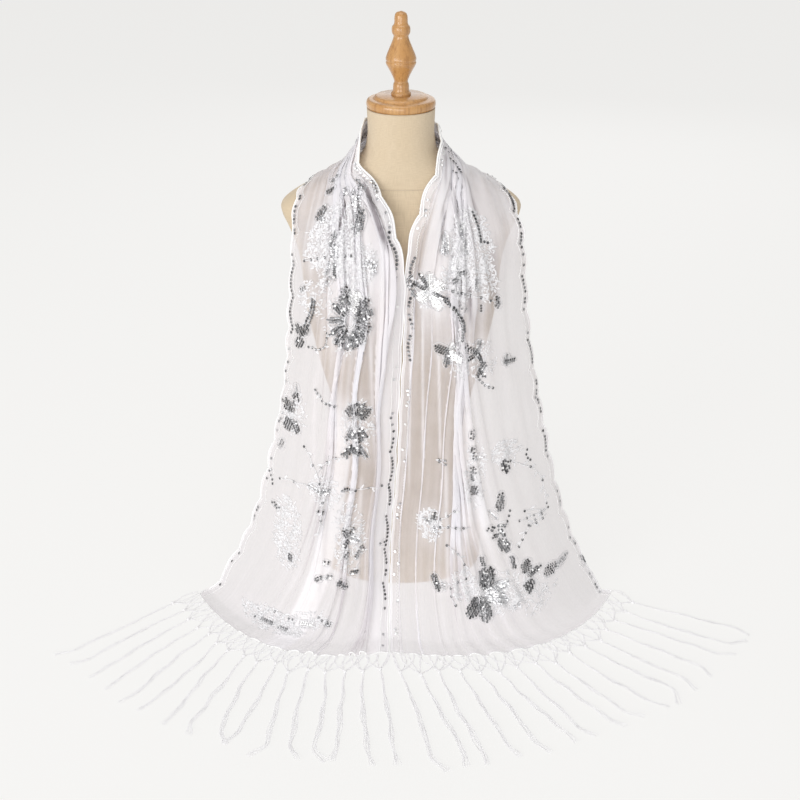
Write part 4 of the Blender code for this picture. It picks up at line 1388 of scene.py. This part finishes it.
def sequin_table():
    """Every sequin on the cloth: in petals, on trails, and along the trim of both long edges."""
    chance = np.random.default_rng(5)
    rows = []
    for film, shape, finder in all_petals():
        for row, line in enumerate(petal_lines(*shape, ROW_SPACING, SEQUIN_STEP)):
            across, along = finder(line)
            tones = FILM_TONES_WITH_PAINTED_REFLECTION[film] + chance.uniform(-0.12, 0.20, len(across))
            tones += -0.09 if row % 2 else 0.09
            # painted glints: one sequin in twenty is painted full white
            tones = np.where(chance.random(len(across)) < 0.05, 1.0, tones)
            rows.append(sequin_row(across, along, tones, SEQUIN_SIZE, chance))
    for trail in TRAILS:
        across, along = front_line(trail.side, spaced(trail_line(trail), trail.step))
        tones = chance.uniform(0.05, 0.5, len(across))
        rows.append(sequin_row(across, along, tones, TRAIL_SEQUIN_SIZE, chance, 0.15))
    for trim in TRIMS:
        count = int(CLOTH_LENGTH / TRIM_STEP)
        across, along = edge_line(trim.edge, TRIM_INSET, count, lobes="outer")
        up = from_hem(trim.side, along)
        waves = np.sin(2 * math.pi * along / 0.047) * np.sin(2 * math.pi * along / 0.031)
        runs = 0.5 + 0.5 * waves
        shown = (up > trim.low) & (up <= trim.high)
        shown &= chance.random(len(along)) < np.where(runs > 1 - trim.share, 0.97, 0.06)
        across, along = across[shown], along[shown]
        tones = trim.tone + chance.uniform(-0.2, 0.25, len(along))
        rows.append(sequin_row(across, along, tones, TRIM_SEQUIN_SIZE, chance, 0.0))
    return np.concatenate(rows)


def sequin_tree():
    """Geometry nodes that set a small cupped disc on every point, turned to its facing."""
    tree = bpy.data.node_groups.new("sequins_on_points", "GeometryNodeTree")
    tree.interface.new_socket("Geometry", in_out="INPUT", socket_type="NodeSocketGeometry")
    sides = tree.interface.new_socket("Sides", in_out="INPUT", socket_type="NodeSocketInt")
    sides.default_value = 8
    cup = tree.interface.new_socket("Cup", in_out="INPUT", socket_type="NodeSocketFloat")
    cup.default_value = 0.22
    finish = tree.interface.new_socket("Finish", in_out="INPUT", socket_type="NodeSocketMaterial")
    tree.interface.new_socket("Geometry", in_out="OUTPUT", socket_type="NodeSocketGeometry")
    given = node(tree, "NodeGroupInput").outputs
    disc = node(
        tree, "GeometryNodeMeshCircle", {"Vertices": given["Sides"], "Radius": 0.5},
        fill_type="TRIANGLE_FAN",
    ).outputs[0]
    place = node(tree, "GeometryNodeInputPosition").outputs[0]
    reach = node(tree, "ShaderNodeVectorMath", {0: place}, operation="LENGTH").outputs["Value"]
    lift = math_node(tree, "MULTIPLY", reach, given["Cup"])
    offset = node(tree, "ShaderNodeCombineXYZ", {"Z": lift}).outputs[0]
    cupped = node(tree, "GeometryNodeSetPosition", {"Geometry": disc, "Offset": offset}).outputs[0]
    facing = node(tree, "GeometryNodeInputNamedAttribute", {"Name": "facing"},
                  data_type="FLOAT_VECTOR").outputs[0]
    size = node(tree, "GeometryNodeInputNamedAttribute", {"Name": "size"}).outputs[0]
    turned_to = node(tree, "FunctionNodeAlignRotationToVector", {"Vector": facing}, axis="Z")
    inputs = {"Points": given["Geometry"], "Instance": cupped, "Scale": size}
    inputs["Rotation"] = turned_to.outputs[0]
    placed_discs = node(tree, "GeometryNodeInstanceOnPoints", inputs).outputs[0]
    real = node(tree, "GeometryNodeRealizeInstances", {"Geometry": placed_discs}).outputs[0]
    made = node(tree, "GeometryNodeSetMaterial", {"Geometry": real, "Material": given["Finish"]})
    node(tree, "NodeGroupOutput", {0: made.outputs[0]})
    return tree, {"Sides": sides.identifier, "Cup": cup.identifier, "Finish": finish.identifier}


def grown(obj, tree, values):
    """The object's mesh replaced by what its geometry nodes make of it."""
    modifier = obj.modifiers.new("Grow", "NODES")
    modifier.node_group = tree
    for identifier, value in values.items():
        modifier[identifier] = value
    bpy.context.view_layer.update()
    graph = bpy.context.evaluated_depsgraph_get()
    mesh = bpy.data.meshes.new_from_object(obj.evaluated_get(graph), depsgraph=graph)
    obj.modifiers.remove(modifier)
    obj.data = mesh
    return obj


def sequins():
    """All sequins as one mesh."""
    rows = sequin_table()
    rows[:, 2] = np.maximum(rows[:, 2], SEQUIN_LIFT)
    obj = mesh_object("sequins", rows[:, :3], [], SEQUIN, smooth=False)
    add_values(obj.data, "size", rows[:, 6])
    add_values(obj.data, "tone", np.clip(rows[:, 7], 0, 1))
    layer = obj.data.attributes.new("facing", "FLOAT_VECTOR", "POINT")
    layer.data.foreach_set("vector", rows[:, 3:6].astype(np.float32).ravel())
    tree, sockets = sequin_tree()
    return grown(obj, tree, {sockets["Finish"]: SEQUIN, sockets["Sides"]: 8})


def satin_leaf(finder, start, heading, length, width):
    """A low domed leaf of satin stitches, or nothing where a fold would tear it."""
    shares = np.linspace(0, 1, 6)
    half = width / 2 * (0.12 + 0.88 * np.sin(math.pi * shares) ** 0.7)
    ahead = pointing(heading)
    aside = quarter_turn(ahead)
    rows = []
    for side in (1, 0, -1):
        line = start + shares[:, None] * length * ahead + (side * half)[:, None] * aside
        across, along = finder(line)
        if not within_edges(across, along, STITCH_MARGIN, STITCH_MARGIN).all():
            return None
        rows.append(on_cloth(across, along, 0.0013 - 0.0008 * abs(side), 0.7))
    points = np.stack([row[0] for row in rows])
    steps = [np.linalg.norm(np.diff(points, axis=axis), axis=2).max() for axis in (0, 1)]
    if max(steps) > 0.007:
        return None
    out = np.cross(points[1, 3] - points[1, 2], points[0, 3] - points[1, 3])
    faces = [list(face) for face in grid_faces(3, 6)]
    if out @ rows[1][1][3] > 0:
        faces = [face[::-1] for face in faces]
    return points.reshape(-1, 3), faces


def stitched(finder, line, radius, sides=4):
    """Thread along a line on the cloth, in runs that end where a fold would tear it."""
    across, along = finder(line)
    kept = within_edges(across, along, STITCH_MARGIN, STITCH_MARGIN)
    across, along = across[kept], along[kept]
    if len(across) < 4:
        return
    points, facing = on_cloth(across, along, 0.0010, 0.6)
    breaks = np.linalg.norm(np.diff(points, axis=0), axis=1) > 0.008
    for run in np.split(np.arange(len(points)), np.flatnonzero(breaks) + 1):
        if len(run) > 3:
            yield tube(points[run], radius, facing[run], sides)


CIRCLE = np.array([pointing(turn) for turn in np.linspace(0, 2 * math.pi, 21)])


def flower_rings():
    """Two white rings in the middle of each flower but the smallest."""
    for bloom in BLOOMS:
        if bloom.tall > 0.012:
            for share in (0.28, 0.40):
                ring = (bloom.x, bloom.up) + CIRCLE * (bloom.wide, bloom.tall) * share
                yield from stitched(partial(front_line, bloom.side), ring, RING_THREAD)
    for across, along, reach, _ in BACK_FLOWERS:
        for share in (0.10, 0.16):
            yield from stitched(back_line, (across, along) + CIRCLE * reach * share, STEM_THREAD)


def petal_rims():
    """A fine thread round each petal."""
    for _, (centre, long, broad, heading), finder in all_petals():
        ahead = pointing(heading)
        rim = CIRCLE[:, :1] * ahead * (long / 2 + 0.0032)
        rim = rim + CIRCLE[:, 1:] * quarter_turn(ahead) * (broad / 2 + 0.0030)
        yield from stitched(finder, centre + rim, RIM_THREAD, 3)


def spray_leaves(chance):
    """Small leaves strewn over the patch of each white spray."""
    for spray in SPRAYS:
        finder = partial(front_line, spray.side)
        for _ in range(spray.leaves):
            turn, reach = chance.uniform(0, 2 * math.pi), math.sqrt(chance.uniform(0, 1))
            out = pointing(turn) * (spray.wide, spray.tall) * reach
            yield satin_leaf(finder, (spray.x, spray.up) + out, chance.uniform(0, 2 * math.pi),
                             chance.uniform(0.004, 0.0085), chance.uniform(0.0016, 0.0027))


def sprigs(chance):
    """Sprigs of three leaves, behind the neck."""
    for _ in range(SPRIGS):
        middle = np.array([chance.uniform(0.03, 0.45), chance.uniform(CREST_LEFT, CREST_RIGHT)])
        heading = chance.uniform(0, 2 * math.pi)
        for turn in (-0.7, 0.0, 0.7):
            length = chance.uniform(0.006, 0.010)
            yield satin_leaf(back_line, middle, heading + turn, length, LEAF_WIDTH)


def leafy_stems(chance):
    """A stem under each trail that has one, with leaves to either side."""
    for trail in TRAILS:
        if not trail.stem:
            continue
        finder = partial(front_line, trail.side)
        line = trail_line(trail)
        yield from stitched(finder, line, STEM_THREAD)
        for place in range(6, len(line) - 3, 11):
            way = math.atan2(*(line[place + 1] - line[place])[::-1])
            way += chance.choice([-1, 1]) * chance.uniform(0.6, 1.0)
            length = chance.uniform(0.007, 0.011)
            yield satin_leaf(finder, line[place], way, length, LEAF_WIDTH)


def embroidery():
    """White thread work: rings in the flowers, petals' rims, and stems with small leaves."""
    chance = np.random.default_rng(29)
    pieces = [*flower_rings(), *petal_rims(), *spray_leaves(chance)]
    pieces += [*sprigs(chance), *leafy_stems(chance)]
    return joined("embroidery", [piece for piece in pieces if piece], SATIN)


# ---------------------------------------------------------------------------------------------
# Fringe


Hem = namedtuple("Hem", "line outward reach")


def hem_of(station, inland):
    """The hem in plan: its line, the directions out of it, and the distance along it."""
    line, inside = drape(np.array([station, inland]), np.linspace(0, 1, 121))[..., :2]
    return Hem(line, unit(line - inside), run_along(line))


def on_hem(hem, distance, offset):
    """The place in plan this far along the hem and this far outside it."""
    place = at_distances(distance, hem.reach, hem.line)
    return place + at_distances(distance, hem.reach, hem.outward) * offset


def in_plan(points, height):
    """Points of the floor plan at a height."""
    points = np.asarray(points, float)
    return np.concatenate([points, np.broadcast_to(height, (len(points),))[:, None]], axis=1)


def tassel_legs(hem, middle, knot, knot_reach, aside, chance):
    """The legs from the hem to one knot, which cross those of the next tassels."""
    pitch = hem.reach[-1] / TASSELS
    steps = np.linspace(0, 1, 16)[:, None]
    for foot in LEG_FEET:
        foot += chance.normal(0, 0.11)
        place = np.clip(middle + foot * pitch, 0.001, hem.reach[-1] - 0.001)
        start = on_hem(hem, place, HEM_GAP)
        bow = on_hem(hem, middle + 1.1 * foot * pitch, HEM_GAP + 0.5 * knot_reach)
        line = start * (1 - steps) ** 2 + bow * 2 * steps * (1 - steps) + knot * steps**2
        line = line + chance.normal(0, 0.0025) * np.sin(math.pi * steps) * aside
        line = in_plan(line, 0.0016 + 0.0006 * abs(foot))
        yield from bundle(line, np.full(16, LEG_HALF_WIDTH), LEG_PLY, 2, chance)


def tassel_knot(start, end):
    """The wrapped knot of a tassel, thickest in its middle."""
    steps = np.linspace(0, 1, 9)[:, None]
    swell = 0.0014 + 0.0014 * np.sin(math.pi * steps[:, 0])
    return tube(in_plan(start + (end - start) * steps, KNOT_HEIGHT), swell, UP, 8)


def tassel_tail(tassel, end, tip, aside, sway, chance):
    """The flat soft tail from a knot to its tip, which opens on the way."""
    steps = np.linspace(0, 1, 64)
    bend = np.sin(math.pi * steps) + 0.3 * np.sin(2 * math.pi * steps)
    wiggle = 0.0009 * np.sin(2 * math.pi * steps * chance.uniform(2, 4) + tassel)
    hook = chance.normal(0, 0.010) * eased(steps, 0.80, 1.0) ** 2
    line = end + (tip - end) * steps[:, None] + aside * (sway * bend + wiggle + hook)[:, None]
    widest = (0.0034 - 0.0012 * tassel / (TASSELS - 1)) * chance.uniform(0.85, 1.15)
    half_width = 0.0010 + (widest - 0.0010) * eased(steps, 0.0, 0.55)
    half_width += 0.0016 * eased(steps, 0.90, 1.0)
    radius = 0.00072 - 0.00030 * steps**3
    return bundle(in_plan(line, TAIL_HEIGHT), half_width, radius, 7, chance)


def fringe(fan, station, inland):
    """Knotted tassels that fan out from the hem: crossing legs, a knot, and a flat soft tail."""
    hem = hem_of(station, inland)
    mirror = -1 if fan.side == "left" else 1
    chance = np.random.default_rng(fan.seed)
    fine_chance = np.random.default_rng(fan.seed + 100)
    pitch = hem.reach[-1] / TASSELS
    pieces = []
    for tassel in range(TASSELS):
        middle = (tassel + 0.5) * pitch
        share = tassel / (TASSELS - 1)
        angle = fan.first_angle + (fan.last_angle - fan.first_angle) * share
        angle = math.radians(angle + chance.uniform(-1.0, 1.0))
        far = fan.front_reach + (fan.side_reach - fan.front_reach) * share**2
        far += chance.uniform(-0.007, 0.007)
        tip = np.array([mirror * far * math.sin(angle), -far * math.cos(angle)])
        knot_reach = KNOT_REACH * fine_chance.uniform(0.78, 1.12)
        knot = on_hem(hem, middle + chance.uniform(-0.08, 0.08) * pitch, knot_reach)
        heading = unit(tip - knot)
        aside = quarter_turn(heading)
        end = knot + heading * KNOT_LENGTH
        sway = chance.uniform(-0.005, 0.005)
        pieces += tassel_legs(hem, middle, knot, knot_reach, aside, fine_chance)
        pieces += [tassel_knot(knot, end)]
        pieces += tassel_tail(tassel, end, tip, aside, sway, fine_chance)
    obj = joined(f"fringe_{fan.side}_yarn", pieces, FRINGE, FLOOR_CLEARANCE)
    facing = np.array([tuple(normal.vector) for normal in obj.data.vertex_normals])
    facing += np.where(facing[:, 2:] > -0.3, 1.2, 0.0) * UP  # tails catch light from above
    obj.data.normals_split_custom_set_from_vertices(unit(facing))
    return obj


# ---------------------------------------------------------------------------------------------
# Studio


Lamp = namedtuple("Lamp", "name place aim width power")
LAMPS = rows_of(
    Lamp,
    ("key", (-3.3, -3.7, 1.5), (0, 0, 0.42), 2.4, 93.0),
    ("front", (-0.4, -4.6, 0.9), (0, 0, 0.40), 2.4, 61.0),
    ("top", (-0.1, -0.4, 3.3), (0, -0.1, 0.3), 2.4, 28.0),
    ("back", (0.5, 2.6, 1.6), (0, 0, 0.4), 2.0, 10.0),
)
FLOOR_REACH = 30.0
FLOOR_LEVEL = -0.0002
CAMERA_PLACE = (-0.0015, -1.8, 1.2139)
CAMERA_TILT = 27.18  # degrees down from level
LENS = 56.08
SENSOR_WIDTH = 36.0


def pale_floor():
    """A plain pale floor, just below the part."""
    made, tree, shader, _ = new_material("studio_floor")
    grey, glow = (0.20, 0.20, 0.20, 1), (0.913, 0.905, 0.888, 1)
    set_inputs(tree, shader, {"Base Color": grey, "Roughness": 0.95, "Specular IOR Level": 0.0})
    set_inputs(tree, shader, {"Emission Color": glow, "Emission Strength": 0.81})
    signs = ((-1, -1), (1, -1), (1, 1), (-1, 1))
    corners = [(x * FLOOR_REACH, y * FLOOR_REACH, FLOOR_LEVEL) for x, y in signs]
    return mesh_object("studio_floor", corners, [[0, 1, 2, 3]], made, smooth=False)


def hang(lamp):
    """A soft square light at its place, turned to its aim."""
    light = bpy.data.lights.new(lamp.name, "AREA")
    light.size = lamp.width
    light.energy = lamp.power
    obj = bpy.data.objects.new(lamp.name, light)
    obj.location = lamp.place
    x, y, z = (target - start for target, start in zip(lamp.aim, lamp.place))
    tilt = math.atan2(math.hypot(x, y), -z)
    obj.rotation_euler = (tilt, 0, math.atan2(y, x) - math.pi / 2)
    bpy.context.scene.collection.objects.link(obj)


def studio():
    """The floor, the soft lights and the camera."""
    scene = bpy.context.scene
    floor = pale_floor()
    floor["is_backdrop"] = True
    scene.world = bpy.data.worlds.new("soft_sky")
    scene.world.use_nodes = True
    sky = scene.world.node_tree.nodes["Background"]
    sky.inputs["Color"].default_value = (0.93, 0.925, 0.915, 1)
    sky.inputs["Strength"].default_value = 0.50
    for lamp in LAMPS:
        hang(lamp)
    view = bpy.data.cameras.new("front_view")
    view.lens = LENS
    view.sensor_width = SENSOR_WIDTH
    camera = bpy.data.objects.new("front_view", view)
    camera.location = CAMERA_PLACE
    camera.rotation_euler = (math.radians(90 - CAMERA_TILT), 0, 0)
    scene.collection.objects.link(camera)
    scene.camera = camera
    scene.view_settings.view_transform = "Standard"
    scene.cycles.transparent_max_bounces = 48


# ---------------------------------------------------------------------------------------------
# The scene


def placed(piece, slot, *nodes):
    """The piece rides on the one body and stands for these nodes, which it hides. The slot is not
    used.
    """
    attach(piece, "root")
    if nodes:
        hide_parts(*nodes)
    return piece


studio()
cap_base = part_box("cap_plate")[0].z
finial_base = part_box("finial")[0].z
placed(form_cover(), "linen", "form_body")
placed(form_seams(), "linen")
placed(turned("neck_cap", CAP_PROFILE, cap_base), "wood", "cap_plate")
placed(turned("neck_finial", FINIAL_PROFILE, finial_base), "wood", "finial")

net = placed(stole_net(), "net", "stole_front_left", "stole_neck_wrap", "stole_front_right")
cords = placed(edge_cords(), "net")
threadwork = placed(embroidery(), "net")
spangles = placed(sequins(), "net")
left_fringe = placed(fringe(FANS[0], STATIONS[0], STATIONS[1]), "fringe", "fringe_left")
right_fringe = placed(fringe(FANS[1], STATIONS[-1], STATIONS[-2]), "fringe", "fringe_right")

boxes = {"cad": cad_box, "visual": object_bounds()}
plain = {name: [list(map(float, corner)) for corner in box] for name, box in boxes.items()}
